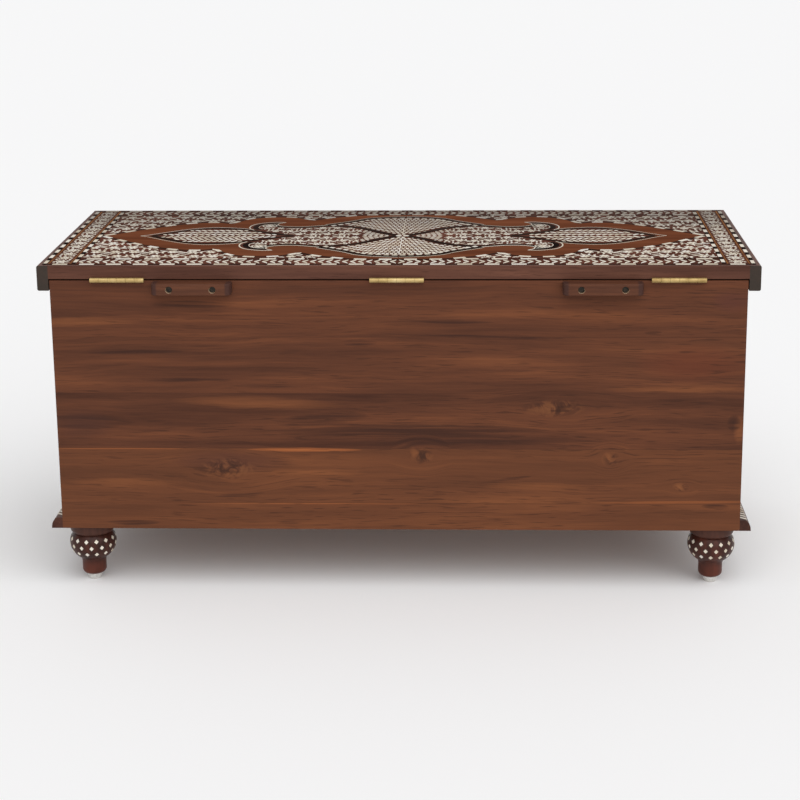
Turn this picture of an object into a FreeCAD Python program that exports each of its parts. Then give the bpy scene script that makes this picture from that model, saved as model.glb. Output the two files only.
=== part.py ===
import FreeCAD, Part
import math
import os
import re

import Sketcher

# Bone inlay trunk: a low chest on turned feet with a hinged, lipped lid.
# Millimetres, +Z up, the front faces -Y, the hinges are at the back (+Y).
# The origin lies on the floor under the middle of everything.

SIZES = {
    # the lid and the lip that hangs from its front and ends
    "lid_length": 1016,
    "lid_depth": 416,
    "lid_thickness": 19,
    "lid_arris": 2,
    "lip_thickness": 16,
    "lip_height": 36,
    "lip_round": 2.5,
    "lip_clearance": 1.5,
    "rail_width": 40,
    "inlay_margin": 9,
    "inlay_panel_thickness": 2.5,
    # the walls of the chest
    "wall_height": 370,
    "panel_thickness": 18,
    "back_thickness": 18,
    "facing_thickness": 3,
    "lowest_board_height": 40,
    "bottom_thickness": 12,
    "groove_depth": 6,
    "groove_play": 0.3,
    # the plinth moulding
    "plinth_height": 16,
    "plinth_width": 16,
    "plinth_ledge": 8.8,
    "plinth_fillet": 2,
    # the turned feet, from the toe upwards
    "foot_inset": 36,
    "toe_diameter": 24,
    "toe_height": 7,
    "stem_diameter": 35,
    "stem_height": 11,
    "stem_cove_height": 7.5,
    "bulb_foot_diameter": 39,
    "bulb_diameter": 68,
    "bulb_lower_height": 24.5,
    "bulb_upper_height": 15,
    "neck_diameter": 55,
    "collar_round_height": 6.5,
    "collar_diameter": 65,
    "collar_height": 9.5,
    # glides, foot bolts and the blocks that take them
    "glide_height": 9,
    "glide_top_diameter": 22,
    "glide_floor_diameter": 18,
    "nail_diameter": 3,
    "nail_length": 16,
    "foot_block_side": 80,
    "foot_block_height": 24,
    "bolt_diameter": 8,
    "bolt_reach_down": 35,
    "bolt_reach_up": 21,
    # the butt hinges
    "hinge_gap": 2,
    "hinge_length": 76.2,
    "hinge_end_gap": 58.4,
    "leaf_depth": 16,
    "leaf_thickness": 1.8,
    "barrel_diameter": 7,
    "barrel_clearance": 0.3,
    "pin_diameter": 3.2,
    "pin_play": 0.05,
    "knuckle_gap": 0.3,
    # the blocks on the back that the open lid comes to rest on
    "lid_open_angle": 110,
    "stop_clearance": 0.3,
    "stop_block_length": 112,
    "stop_block_height": 16.5,
    "stop_block_depth": 20,
    "stop_block_round": 8,
    "stop_block_arris": 1.5,
    "stop_block_gap": 11.9,
    # screws and dowels
    "stop_screw_spacing": 61,
    "stop_screw_diameter": 4,
    "stop_screw_reach": 13,
    "stop_screw_head": 8,
    "stop_screw_head_height": 3,
    "counterbore_diameter": 10,
    "counterbore_depth": 7,
    "leaf_screw_margin": 12.1,
    "leaf_screw_diameter": 3.4,
    "leaf_screw_head": 7,
    "leaf_screw_reach": 12,
    "dowel_diameter": 8,
    "dowel_in_panel": 12,
    "dowel_in_end": 24,
    # room round anything driven into a hole, and how far a cutter runs past its work
    "fit_play": 0.05,
    "cut_overrun": 5,
}

FULL_BOARDS = 4
KNUCKLES = 6
FRONT_DOWELS = 3

PLACES = {
    # heights above the floor
    "foot_height": "toe_height + stem_height + stem_cove_height + bulb_lower_height"
                   " + bulb_upper_height + collar_round_height + collar_height",
    "chest_bottom": "glide_height + foot_height",
    "chest_top": "chest_bottom + wall_height",
    "rim_top": "chest_top + hinge_gap",
    "lid_top": "rim_top + lid_thickness",
    "axis_height": "chest_top + hinge_gap / 2",
    "bottom_level": "chest_bottom + foot_block_height",
    "full_board_height": f"(wall_height - lowest_board_height) / {FULL_BOARDS}",
    # depths, front to back
    "back_plane": "(lid_depth - stop_block_depth) / 2",
    "lid_front": "back_plane - lid_depth",
    "chest_front": "lid_front + lip_thickness + lip_clearance",
    "front_core": "chest_front + facing_thickness",
    "inner_front": "front_core + panel_thickness",
    "inner_back": "back_plane - back_thickness",
    "axis_offset": "barrel_diameter / 2 + barrel_clearance",
    "axis_depth": "back_plane + axis_offset",
    # distances out from the middle
    "lid_end": "lid_length / 2",
    "side_face": "lid_end - lip_thickness - lip_clearance",
    "side_core": "side_face - facing_thickness",
    "inner_side": "side_core - panel_thickness",
    "hinge_place": "side_face - hinge_end_gap - hinge_length / 2",
    "stop_place": "hinge_place - hinge_length / 2 - stop_block_gap - stop_block_length / 2",
    # the rear edge of the open lid lands on the outer edge of the blocks
    "stop_drop": "stop_clearance - (axis_offset + (stop_block_depth - axis_offset)"
                 " * cos(lid_open_angle * 1deg)) / sin(lid_open_angle * 1deg)",
    "stop_top": "axis_height - stop_drop",
    "stop_screw_height": "stop_top - stop_block_height / 2",
    "stop_seat": "stop_block_depth - counterbore_depth",
    # hinge parts
    "knuckle_pitch": f"hinge_length / {KNUCKLES}",
    "leaf_middle": "back_plane - leaf_depth / 2",
    "leaf_screw_step": "hinge_length / 2 - leaf_screw_margin",
    "leaf_screw_total": "leaf_thickness + leaf_screw_reach",
}

doc = FreeCAD.newDocument("BoneInlayTrunk")
sizes = doc.addObject("Spreadsheet::Sheet", "Sizes")
places = doc.addObject("Spreadsheet::Sheet", "Places")
nodes = []


def spell(text, own="Places."):
    """The expression with every named value written out with its sheet."""
    def full(match):
        word = match.group(0)
        if word in SIZES:
            return "Sizes." + word
        if word in PLACES:
            return own + word
        return word
    return re.sub(r"[a-z_]+", full, text)


def fill_sheets():
    """The driving sizes as plain numbers, and the places worked out from them."""
    for row, (alias, number) in enumerate(SIZES.items(), start=1):
        sizes.set(f"A{row}", alias)
        sizes.set(f"B{row}", str(number))
        sizes.setAlias(f"B{row}", alias)
    doc.recompute()
    for row, alias in enumerate(PLACES, start=1):
        places.set(f"A{row}", alias)
        places.setAlias(f"B{row}", alias)
    for row, text in enumerate(PLACES.values(), start=1):
        places.set(f"B{row}", "=" + spell(text, own=""))
    doc.recompute()


def number(text):
    """What an expression comes to now."""
    return float(sizes.evalExpression(spell(text)))


def bind(made, **expressions):
    """Tie properties to the sheets; x, y and z stand for the place of the object."""
    for name, text in expressions.items():
        path = "Placement.Base." + name if name in ("x", "y", "z") else name
        made.setExpression(path, spell(text))
    return made


def node(label, made):
    """Keep the object as a finished piece under its own name."""
    made.Label = label
    nodes.append(made)
    return made


def box(name, spans):
    """A block from three (low, high) pairs along X, Y and Z."""
    made = doc.addObject("Part::Box", name)
    (west, east), (front, back), (low, high) = spans
    bind(made, Length=f"({east}) - ({west})", Width=f"({back}) - ({front})", Height=f"({high}) - ({low})")
    return bind(made, x=west, y=front, z=low)


TURNS = {
    "x": FreeCAD.Rotation(FreeCAD.Vector(0, 1, 0), 90),
    "y": FreeCAD.Rotation(FreeCAD.Vector(1, 0, 0), -90),
    "z": FreeCAD.Rotation(),
}


def rod(name, along, diameter, length, start):
    """A round bar that runs up an axis from its start point."""
    made = doc.addObject("Part::Cylinder", name)
    made.Placement.Rotation = TURNS[along]
    bind(made, Radius=f"({diameter}) / 2", Height=length)
    return bind(made, x=start[0], y=start[1], z=start[2])


def taper(name, low_diameter, high_diameter, height, start):
    """An upright cone between two diameters."""
    made = doc.addObject("Part::Cone", name)
    bind(made, Radius1=f"({low_diameter}) / 2", Radius2=f"({high_diameter}) / 2", Height=height)
    return bind(made, x=start[0], y=start[1], z=start[2])


def joined(name, pieces):
    """Several solids fused into one."""
    made = doc.addObject("Part::MultiFuse", name)
    made.Shapes = pieces
    made.Refine = True
    return made


def gathered(name, pieces):
    """Several separate solids kept as one group."""
    made = doc.addObject("Part::Compound", name)
    made.Links = pieces
    return made


def cut(name, base, tools):
    """The base with every tool taken out of it."""
    made = doc.addObject("Part::Cut", name)
    made.Base = base
    made.Tool = tools[0] if len(tools) == 1 else gathered(name + "_tools", tools)
    made.Refine = True
    return made


def arc_centre(start, end, fixed, level):
    """The centre equally far from both ends, with one coordinate given."""
    free = 0 if fixed == 1 else 1
    gap = (end[fixed] - level) ** 2 - (start[fixed] - level) ** 2
    other = (end[free] ** 2 - start[free] ** 2 + gap) / (2 * (end[free] - start[free]))
    return (other, level) if free == 0 else (level, other)


def draw_loop(sketch, corners, arcs):
    """One closed loop through the corners; an arc's centre is held along x (0) or y (1)."""
    points = [(number(x), number(y)) for x, y in corners]
    first = len(sketch.Geometry)
    ends = []
    for i, start in enumerate(points):
        end = points[(i + 1) % len(points)]
        if i in arcs:
            fixed, text = arcs[i]
            centre = arc_centre(start, end, fixed, number(text))
            angles = [math.atan2(p[1] - centre[1], p[0] - centre[0]) for p in (start, end)]
            forward = (angles[1] - angles[0]) % math.tau < math.pi
            low, high = angles if forward else reversed(angles)
            radius = math.dist(start, centre)
            circle = Part.Circle(FreeCAD.Vector(*centre, 0), FreeCAD.Vector(0, 0, 1), radius)
            sketch.addGeometry(Part.ArcOfCircle(circle, low, high))
            ends.append((1, 2) if forward else (2, 1))
        else:
            sketch.addGeometry(Part.LineSegment(FreeCAD.Vector(*start, 0), FreeCAD.Vector(*end, 0)))
            ends.append((1, 2))
    for i, (x, y) in enumerate(corners):
        follower = (i + 1) % len(corners)
        sketch.addConstraint(Sketcher.Constraint(
            "Coincident", first + i, ends[i][1], first + follower, ends[follower][0]))
        across, up = points[i]
        for axis, kind, text, place in ((-2, "DistanceX", x, across), (-1, "DistanceY", y, up)):
            hold_point(sketch, first + i, ends[i][0], axis, kind, text, place)
        if i in arcs:
            fixed, text = arcs[i]
            kind = ("DistanceX", "DistanceY")[fixed]
            hold_point(sketch, first + i, 3, -2 + fixed, kind, text, number(text))


def hold_point(sketch, line, end, axis, kind, text, place):
    """Hold a point on an axis, or at a distance from it that the sheets give."""
    if text == "0":
        sketch.addConstraint(Sketcher.Constraint("PointOnObject", line, end, axis))
        return
    held = sketch.addConstraint(Sketcher.Constraint(kind, -1, 1, line, end, place))
    sketch.setExpression(f"Constraints[{held}]", spell(text))


def sketch_on(body, role, *loops):
    """A sketch on one of the body's own planes, from (corners, arcs) loops."""
    sketch = body.newObject("Sketcher::SketchObject", body.Name + "_sketch")
    plane = next(feature for feature in body.Origin.OriginFeatures if feature.Role == role)
    sketch.AttachmentSupport = [(plane, "")]
    sketch.MapMode = "FlatFace"
    for corners, arcs in loops:
        draw_loop(sketch, corners, arcs)
    return sketch


def padded(name, role, corners, arcs, length):
    """A body made by drawing an outline and pulling it out to a length."""
    body = doc.addObject("PartDesign::Body", name)
    pad = body.newObject("PartDesign::Pad", name + "_pad")
    pad.Profile = sketch_on(body, role, (corners, arcs))
    bind(pad, Length=length)
    body.Tip = pad
    doc.recompute()
    return body


def turned(name, corners, arcs):
    """A body turned on a lathe: a half outline swept about the upright axis."""
    body = doc.addObject("PartDesign::Body", name)
    sweep = body.newObject("PartDesign::Revolution", name + "_sweep")
    sketch = sketch_on(body, "XZ_Plane", (corners, arcs))
    sweep.Profile = sketch
    sweep.ReferenceAxis = (sketch, ["V_Axis"])
    sweep.Angle = 360
    body.Tip = sweep
    doc.recompute()
    return body


def mitred(name, corners, arcs, length, width, ends, turn, start):
    """A moulding drawn in section and run along its length, mitred at the named ends."""
    body = padded(name, "YZ_Plane", corners, arcs, length)
    low, past = "-cut_overrun", f"{width} + cut_overrun"
    waste = {
        "start": ([(low, low), (past, low), (low, past)], {}),
        "finish": ([(f"{length} + cut_overrun", low), (f"{length} + cut_overrun", past),
                    (f"{length} - {width} - cut_overrun", low)], {}),
    }
    before = body.Shape.Volume
    pocket = body.newObject("PartDesign::Pocket", name + "_mitre")
    pocket.Profile = sketch_on(body, "XY_Plane", *[waste[end] for end in ends])
    pocket.Type = "ThroughAll"
    pocket.Reversed = True
    body.Tip = pocket
    body.Placement.Rotation = FreeCAD.Rotation(FreeCAD.Vector(0, 0, 1), turn)
    bind(body, x=start[0], y=start[1], z=start[2])
    doc.recompute()
    if not body.Shape.Volume < before:
        raise RuntimeError(name + " was not mitred")
    return body


def mirrored(span, side):
    """A span measured out from the middle, on the left (-1) or right (1)."""
    return span if side > 0 else (f"-({span[1]})", f"-({span[0]})")


fill_sheets()
SIDES = {"left": -1, "right": 1}
HINGES = {"left": "-hinge_place", "centre": "0", "right": "hinge_place"}


# Dowels that hold the sides to the front panel and to the full back boards

def dowel_height(kind, i):
    """The height of one dowel: spread up the front, mid-height in each back board."""
    if kind == "front":
        return f"bottom_level + (rim_top - bottom_level) * {i + 1} / {FRONT_DOWELS + 1}"
    return f"chest_top - full_board_height * ({i} + 1 / 2)"


def dowels(kind, play):
    """Every dowel of one joint, or its hole when there is play round and past it."""
    made = []
    count = FRONT_DOWELS if kind == "front" else FULL_BOARDS
    first = "inner_front - dowel_in_panel" if kind == "front" else "inner_back - dowel_in_end"
    for side, sign in SIDES.items():
        for i in range(count):
            middle = f"{sign} * (inner_side + panel_thickness / 2)"
            start = (middle, f"{first} - {play}", dowel_height(kind, i))
            made.append(rod("dowel", "y", f"dowel_diameter + 2 * {play}",
                            f"dowel_in_panel + dowel_in_end + 2 * {play}", start))
    return made


front_holes = dowels("front", "fit_play")
back_holes = dowels("back", "fit_play")
node("carcass_dowels", gathered("carcass_dowels", dowels("front", "0") + dowels("back", "0")))


# Screw places, shared by the screws and by the holes they go into

def leaf_screw_places():
    """The middle of every hinge screw, along and across the leaf."""
    return [(f"{middle} + {step} * leaf_screw_step", "leaf_middle")
            for middle in HINGES.values() for step in (-1, 0, 1)]


def leaf_screws(which, play):
    """Countersunk hinge screws, downwards into the chest or upwards into the lid."""
    made = []
    for x, y in leaf_screw_places():
        head = (f"leaf_screw_head + 2 * {play}", f"leaf_screw_diameter + 2 * {play}")
        if which == "chest":
            cone = taper("leaf_screw_head", head[1], head[0], "leaf_thickness",
                         (x, y, "chest_top - leaf_thickness"))
            foot = f"chest_top - leaf_screw_total - {play}"
        else:
            cone = taper("leaf_screw_head", head[0], head[1], "leaf_thickness", (x, y, "rim_top"))
            foot = "rim_top + leaf_thickness"
        shank = rod("leaf_screw_shank", "z", head[1], f"leaf_screw_reach + {play}", (x, y, foot))
        made.append(joined("leaf_screw", [cone, shank]))
    return made


def stop_screw_places():
    """The middle of every stop-block screw, along the back."""
    return [f"{sign} * stop_place + {step} * stop_screw_spacing / 2"
            for sign in SIDES.values() for step in (-1, 1)]


def stop_screws():
    """Screws with round heads sunk in the blocks."""
    made = []
    for x in stop_screw_places():
        seat = "back_plane + stop_seat"
        shank = rod("stop_screw_shank", "y", "stop_screw_diameter", "stop_screw_reach + stop_seat",
                    (x, "back_plane - stop_screw_reach", "stop_screw_height"))
        head = rod("stop_screw_head", "y", "stop_screw_head", "stop_screw_head_height",
                   (x, seat, "stop_screw_height"))
        made.append(joined("stop_screw", [shank, head]))
    return made


def stop_holes(x):
    """The screw hole through block and board, and the counterbore over it."""
    shank = rod("stop_hole", "y", "stop_screw_diameter + 2 * fit_play",
                "stop_screw_reach + fit_play + stop_block_depth",
                (x, "back_plane - stop_screw_reach - fit_play", "stop_screw_height"))
    bore = rod("stop_counterbore", "y", "counterbore_diameter", "counterbore_depth + cut_overrun",
               (x, "back_plane + stop_seat", "stop_screw_height"))
    return [shank, bore]


chest_screw_holes = leaf_screws("chest", "fit_play")
lid_screw_holes = leaf_screws("lid", "fit_play")
stop_screw_holes = [stop_holes(x) for x in stop_screw_places()]
node("hinge_screws_chest", gathered("hinge_screws_chest", leaf_screws("chest", "0")))
node("hinge_screws_lid", gathered("hinge_screws_lid", leaf_screws("lid", "0")))
node("stop_block_screws", gathered("stop_block_screws", stop_screws()))


# The chest: back boards, front, sides, facings and bottom

FULL_WIDTH = ("-side_face", "side_face")
BACK_DEPTH = ("inner_back", "back_plane")
GROOVE_HEIGHT = ("bottom_level", "bottom_level + bottom_thickness + groove_play")


def leaf_mortise(middle):
    """The recess for one hinge leaf in the top edge of the back."""
    span = (f"{middle} - hinge_length / 2", f"{middle} + hinge_length / 2")
    return box("leaf_mortise", (span, ("back_plane - leaf_depth", "back_plane + cut_overrun"),
                                ("chest_top - leaf_thickness", "chest_top + cut_overrun")))


def make_back():
    """Five boards edge to edge; the top one is eased and takes hinges and stop blocks."""
    outline = [("inner_back", "0"), ("back_plane", "0"), ("back_plane", "full_board_height - lid_arris"),
               ("back_plane - lid_arris", "full_board_height"), ("inner_back", "full_board_height")]
    top = padded("top_board", "YZ_Plane", outline, {2: (0, "back_plane - lid_arris")}, "2 * side_face")
    bind(top, x="-side_face", z="chest_top - full_board_height")
    tools = [leaf_mortise(middle) for middle in HINGES.values()]
    tools += chest_screw_holes + [holes[0] for holes in stop_screw_holes]
    node("back_board_1", cut("back_board_1", top, tools + [back_holes[0], back_holes[FULL_BOARDS]]))
    for i in range(1, FULL_BOARDS):
        high = (f"chest_top - full_board_height * {i + 1}", f"chest_top - full_board_height * {i}")
        board = box("back_board", (FULL_WIDTH, BACK_DEPTH, high))
        holes = [back_holes[i], back_holes[FULL_BOARDS + i]]
        node(f"back_board_{i + 1}", cut(f"back_board_{i + 1}", board, holes))
    low = ("chest_bottom", "chest_bottom + lowest_board_height")
    lowest = box("lowest_board", (FULL_WIDTH, BACK_DEPTH, low))
    groove = box("back_groove", (("-inner_side - groove_depth", "inner_side + groove_depth"),
                                 ("inner_back - cut_overrun", "inner_back + groove_depth"), GROOVE_HEIGHT))
    node(f"back_board_{FULL_BOARDS + 1}", cut("lowest_back_board", lowest, [groove]))


def make_front_and_sides():
    """Three panels that the lid sits on, grooved for the bottom."""
    upright = ("chest_bottom", "rim_top")
    panel = box("front_core_panel", (("-side_core", "side_core"), ("front_core", "inner_front"), upright))
    groove = box("front_groove", (("-inner_side - groove_depth", "inner_side + groove_depth"),
                                  ("inner_front - groove_depth", "inner_front + cut_overrun"), GROOVE_HEIGHT))
    node("front_panel", cut("front_panel", panel, [groove] + front_holes))
    facing = box("front_inlay_facing", (FULL_WIDTH, ("chest_front", "front_core"), upright))
    node("front_inlay_facing", facing)
    for side, sign in SIDES.items():
        core = box("side_core_panel", (mirrored(("inner_side", "side_core"), sign),
                                       ("inner_front", "inner_back"), upright))
        slot = box("side_groove", (mirrored(("inner_side - cut_overrun", "inner_side + groove_depth"), sign),
                                   ("inner_front - cut_overrun", "inner_back + cut_overrun"), GROOVE_HEIGHT))
        skip = 0 if sign < 0 else 1
        own = front_holes[skip * FRONT_DOWELS:(skip + 1) * FRONT_DOWELS]
        own = own + back_holes[skip * FULL_BOARDS:(skip + 1) * FULL_BOARDS]
        node(f"{side}_side_panel", cut(f"{side}_side_panel", core, [slot] + own))
        facing = box(f"{side}_inlay_facing", (mirrored(("side_core", "side_face"), sign),
                                              ("front_core", "inner_back"), upright))
        node(f"{side}_inlay_facing", facing)


def make_bottom():
    """The bottom board, let into grooves on all four sides."""
    reach = "(groove_depth - groove_play)"
    node("bottom_panel", box("bottom_panel", ((f"-inner_side - {reach}", f"inner_side + {reach}"),
                                              (f"inner_front - {reach}", f"inner_back + {reach}"),
                                              ("bottom_level", "bottom_level + bottom_thickness"))))


make_back()
make_front_and_sides()
make_bottom()


# Feet, their glides and bolts, and the blocks above them

def foot_outline():
    """Half the foot in section, from the toe up, with the bores for nail and bolt."""
    stem_base = "toe_height"
    stem_end = "toe_height + stem_height"
    bulb_foot = stem_end + " + stem_cove_height"
    widest = bulb_foot + " + bulb_lower_height"
    neck = widest + " + bulb_upper_height"
    collar = neck + " + collar_round_height"
    nail = "nail_diameter / 2 + fit_play"
    bolt = "bolt_diameter / 2 + fit_play"
    bolt_end = "foot_height - bolt_reach_down - fit_play"
    corners = [("0", "nail_length + fit_play"), (nail, "nail_length + fit_play"), (nail, "0"),
               ("toe_diameter / 2", "0"), ("stem_diameter / 2", stem_base),
               ("stem_diameter / 2", stem_end), ("bulb_foot_diameter / 2", bulb_foot),
               ("bulb_diameter / 2", widest), ("neck_diameter / 2", neck),
               ("collar_diameter / 2", collar), ("collar_diameter / 2", "foot_height"),
               (bolt, "foot_height"), (bolt, bolt_end), ("0", bolt_end)]
    arcs = {3: (1, stem_base), 5: (1, stem_end), 6: (1, widest), 7: (1, widest), 8: (1, collar)}
    return corners, arcs


def glide_outline():
    """Half the glide in section, with the nail that holds it."""
    nail_top = "glide_height + nail_length"
    return [("0", "0"), ("glide_floor_diameter / 2", "0"), ("glide_top_diameter / 2", "glide_height"),
            ("nail_diameter / 2", "glide_height"), ("nail_diameter / 2", nail_top), ("0", nail_top)]


def make_feet():
    """Four feet under the corners, each bolted to a block inside the chest."""
    bolts = []
    ends = {"front": ("chest_front + foot_inset", ("inner_front", "inner_front + foot_block_side")),
            "back": ("back_plane - foot_inset", ("inner_back - foot_block_side", "inner_back"))}
    for end, (y, deep) in ends.items():
        for side, sign in SIDES.items():
            x = f"{sign} * (side_face - foot_inset)"
            name = f"{end}_{side}"
            foot = turned(f"foot_{name}", *foot_outline())
            node(f"foot_{name}", bind(foot, x=x, y=y, z="glide_height"))
            glide = turned(f"foot_glide_{name}", glide_outline(), {})
            node(f"foot_glide_{name}", bind(glide, x=x, y=y))
            block = box("foot_block", (mirrored(("inner_side - foot_block_side", "inner_side"), sign), deep,
                                       ("chest_bottom", "bottom_level")))
            hole = rod("bolt_hole", "z", "bolt_diameter + 2 * fit_play",
                       "bolt_reach_up + fit_play + cut_overrun", (x, y, "chest_bottom - cut_overrun"))
            node(f"foot_block_{name}", cut(f"foot_block_{name}", block, [hole]))
            bolts.append(rod("foot_bolt", "z", "bolt_diameter", "bolt_reach_down + bolt_reach_up",
                             (x, y, "chest_bottom - bolt_reach_down")))
    node("foot_bolts", gathered("foot_bolts", bolts))


make_feet()


# Plinth moulding round the front and ends

def make_plinth():
    """A moulding with a flat top ledge and a bowed face."""
    section = [("0", "0"), ("plinth_width", "0"), ("plinth_width", "plinth_fillet"),
               ("plinth_ledge", "plinth_height"), ("0", "plinth_height")]
    bow = {2: (1, "plinth_fillet")}
    wide, deep = "(2 * side_face + 2 * plinth_width)", "(back_plane - chest_front + plinth_width)"
    corner = ("side_face + plinth_width", "chest_front", "chest_bottom")
    node("plinth_front", mitred("plinth_front", section, bow, wide, "plinth_width",
                                ("start", "finish"), 180, corner))
    node("plinth_left", mitred("plinth_left", section, bow, deep, "plinth_width", ("start",), 90,
                               ("-side_face", "chest_front - plinth_width", "chest_bottom")))
    node("plinth_right", mitred("plinth_right", section, bow, deep, "plinth_width", ("finish",), -90,
                                ("side_face", "back_plane", "chest_bottom")))


make_plinth()


# Lid: core, back rail, lip on three sides and the inlaid panel in the top

INLAY = (("inlay_margin - lid_end", "lid_end - inlay_margin"),
         ("lid_front + inlay_margin", "back_plane - inlay_margin"))
recess = box("inlay_recess", INLAY + (("lid_top - inlay_panel_thickness", "lid_top + cut_overrun"),))


def rail_mortise(middle):
    """The recess for one hinge leaf in the underside of the lid."""
    span = (f"{middle} - hinge_length / 2", f"{middle} + hinge_length / 2")
    return box("rail_mortise", (span, ("back_plane - leaf_depth", "back_plane + cut_overrun"),
                                ("rim_top - cut_overrun", "rim_top + leaf_thickness")))


def make_lid():
    """The flat of the lid, with the lip glued round its front and ends."""
    between = ("lip_thickness - lid_end", "lid_end - lip_thickness")
    core = box("lid_core_panel", (between, ("lid_front + lip_thickness", "back_plane - rail_width"),
                                  ("rim_top", "lid_top - inlay_panel_thickness")))
    node("lid_core_panel", core)
    node("lid_inlay_panel", box("lid_inlay_panel", INLAY + (("lid_top - inlay_panel_thickness", "lid_top"),)))
    rail = [("0", "0"), ("rail_width", "0"), ("rail_width", "lid_thickness - lid_arris"),
            ("rail_width - lid_arris", "lid_thickness"), ("0", "lid_thickness")]
    body = padded("rail_blank", "YZ_Plane", rail, {2: (0, "rail_width - lid_arris")},
                  "lid_length - 2 * lip_thickness")
    bind(body, x="lip_thickness - lid_end", y="back_plane - rail_width", z="rim_top")
    tools = [rail_mortise(middle) for middle in HINGES.values()] + lid_screw_holes
    node("lid_back_rail", cut("lid_back_rail", body, [recess] + tools))


def make_lip():
    """A rounded strip that hangs below the lid, mitred at the front corners."""
    inner = "lip_thickness - lip_round"
    upper = "lip_height - lip_round"
    section = [("0", "0"), (inner, "0"), ("lip_thickness", "lip_round"), ("lip_thickness", upper),
               (inner, "lip_height"), ("0", "lip_height")]
    rounds = {1: (0, inner), 3: (0, inner)}
    low = "lid_top - lip_height"
    inside = "lid_end - lip_thickness"
    strips = {
        "front": ("lid_length", ("start", "finish"), 180, ("lid_end", "lid_front + lip_thickness", low)),
        "left": ("lid_depth", ("start",), 90, (f"-({inside})", "lid_front", low)),
        "right": ("lid_depth", ("finish",), -90, (inside, "back_plane", low)),
    }
    for name, (length, ends, turn, start) in strips.items():
        strip = mitred(f"lip_blank_{name}", section, rounds, length, "lip_thickness", ends, turn, start)
        node(f"lid_lip_{name}", cut(f"lid_lip_{name}", strip, [recess]))


make_lid()
make_lip()


# Butt hinges: the leaves share one row of knuckles and turn on a pin

def leaf(label, middle, which, screw_holes):
    """A flat leaf in its mortise with every second knuckle of the barrel."""
    flat = ("rim_top", "rim_top + leaf_thickness")
    if which == "chest":
        flat = ("chest_top - leaf_thickness", "chest_top")
    west = f"{middle} - hinge_length / 2"
    long_, deep = (west, f"{west} + hinge_length"), ("back_plane - leaf_depth", "back_plane")
    pieces = [box("leaf_plate", (long_, deep, flat))]
    for k in range(1 if which == "chest" else 0, KNUCKLES, 2):
        span = (f"{west} + knuckle_pitch * {k} + knuckle_gap / 2",
                f"{west} + knuckle_pitch * {k + 1} - knuckle_gap / 2")
        pieces.append(box("knuckle_root", (span, ("back_plane", "axis_depth"), flat)))
        pieces.append(rod("knuckle", "x", "barrel_diameter", "knuckle_pitch - knuckle_gap",
                          (span[0], "axis_depth", "axis_height")))
    bore = rod("pin_bore", "x", "pin_diameter + 2 * pin_play", "hinge_length + 2 * cut_overrun",
               (f"{west} - cut_overrun", "axis_depth", "axis_height"))
    return node(label, cut(label, joined(label + "_blank", pieces), [bore] + screw_holes))


def make_hinges():
    """Three hinges, each with a leaf in the chest, a leaf in the lid and a pin."""
    for i, (place, middle) in enumerate(HINGES.items()):
        own = slice(3 * i, 3 * i + 3)
        leaf(f"hinge_leaf_chest_{place}", middle, "chest", chest_screw_holes[own])
        leaf(f"hinge_leaf_lid_{place}", middle, "lid", lid_screw_holes[own])
        node(f"hinge_pin_{place}", rod(f"hinge_pin_{place}", "x", "pin_diameter", "hinge_length",
                                       (f"{middle} - hinge_length / 2", "axis_depth", "axis_height")))


make_hinges()


# Blocks on the back that stop the open lid

def make_stop_blocks():
    """A short bar with rounded ends and eased edges, bored for two screws."""
    half, deep = "stop_block_length / 2", "stop_block_depth"
    outline = [(f"-{half}", "0"), (half, "0"), (half, f"{deep} - stop_block_round"),
               (f"{half} - stop_block_round", deep), (f"stop_block_round - {half}", deep),
               (f"-{half}", f"{deep} - stop_block_round")]
    rounds = {2: (0, f"{half} - stop_block_round"), 4: (0, f"stop_block_round - {half}")}
    for i, (side, sign) in enumerate(SIDES.items()):
        body = padded(f"stop_blank_{side}", "XY_Plane", outline, rounds, "stop_block_height")
        pad = body.Tip
        bounds = [(edge.Length, edge.BoundBox) for edge in pad.Shape.Edges]
        edges = [f"Edge{k}" for k, (length, span) in enumerate(bounds, start=1)
                 if span.ZLength < length / 2 and span.YMax > span.YLength / 2]
        easing = body.newObject("PartDesign::Fillet", f"stop_easing_{side}")
        easing.Base = (pad, edges)
        bind(easing, Radius="stop_block_arris")
        body.Tip = easing
        bind(body, x=f"{sign} * stop_place", y="back_plane", z="stop_top - stop_block_height")
        holes = stop_screw_holes[2 * i] + stop_screw_holes[2 * i + 1]
        node(f"lid_stop_block_{side}", cut(f"lid_stop_block_{side}", body, holes))


make_stop_blocks()
doc.recompute()

for made in doc.Objects:
    if "Invalid" in made.State or "Error" in made.State:
        raise RuntimeError(f"{made.Label} did not build: {made.State}")
for made in nodes:
    if made.Shape.isNull() or not made.Shape.isValid() or not made.Shape.Solids:
        raise RuntimeError(f"{made.Label} has no sound solid")

os.makedirs("parts", exist_ok=True)
for made in nodes:
    made.Shape.exportStep(f"parts/{made.Label}.step")
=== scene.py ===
import math
from functools import partialmethod, reduce
from typing import NamedTuple

import bpy
import numpy as np
from mathutils import Matrix, Vector


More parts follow.
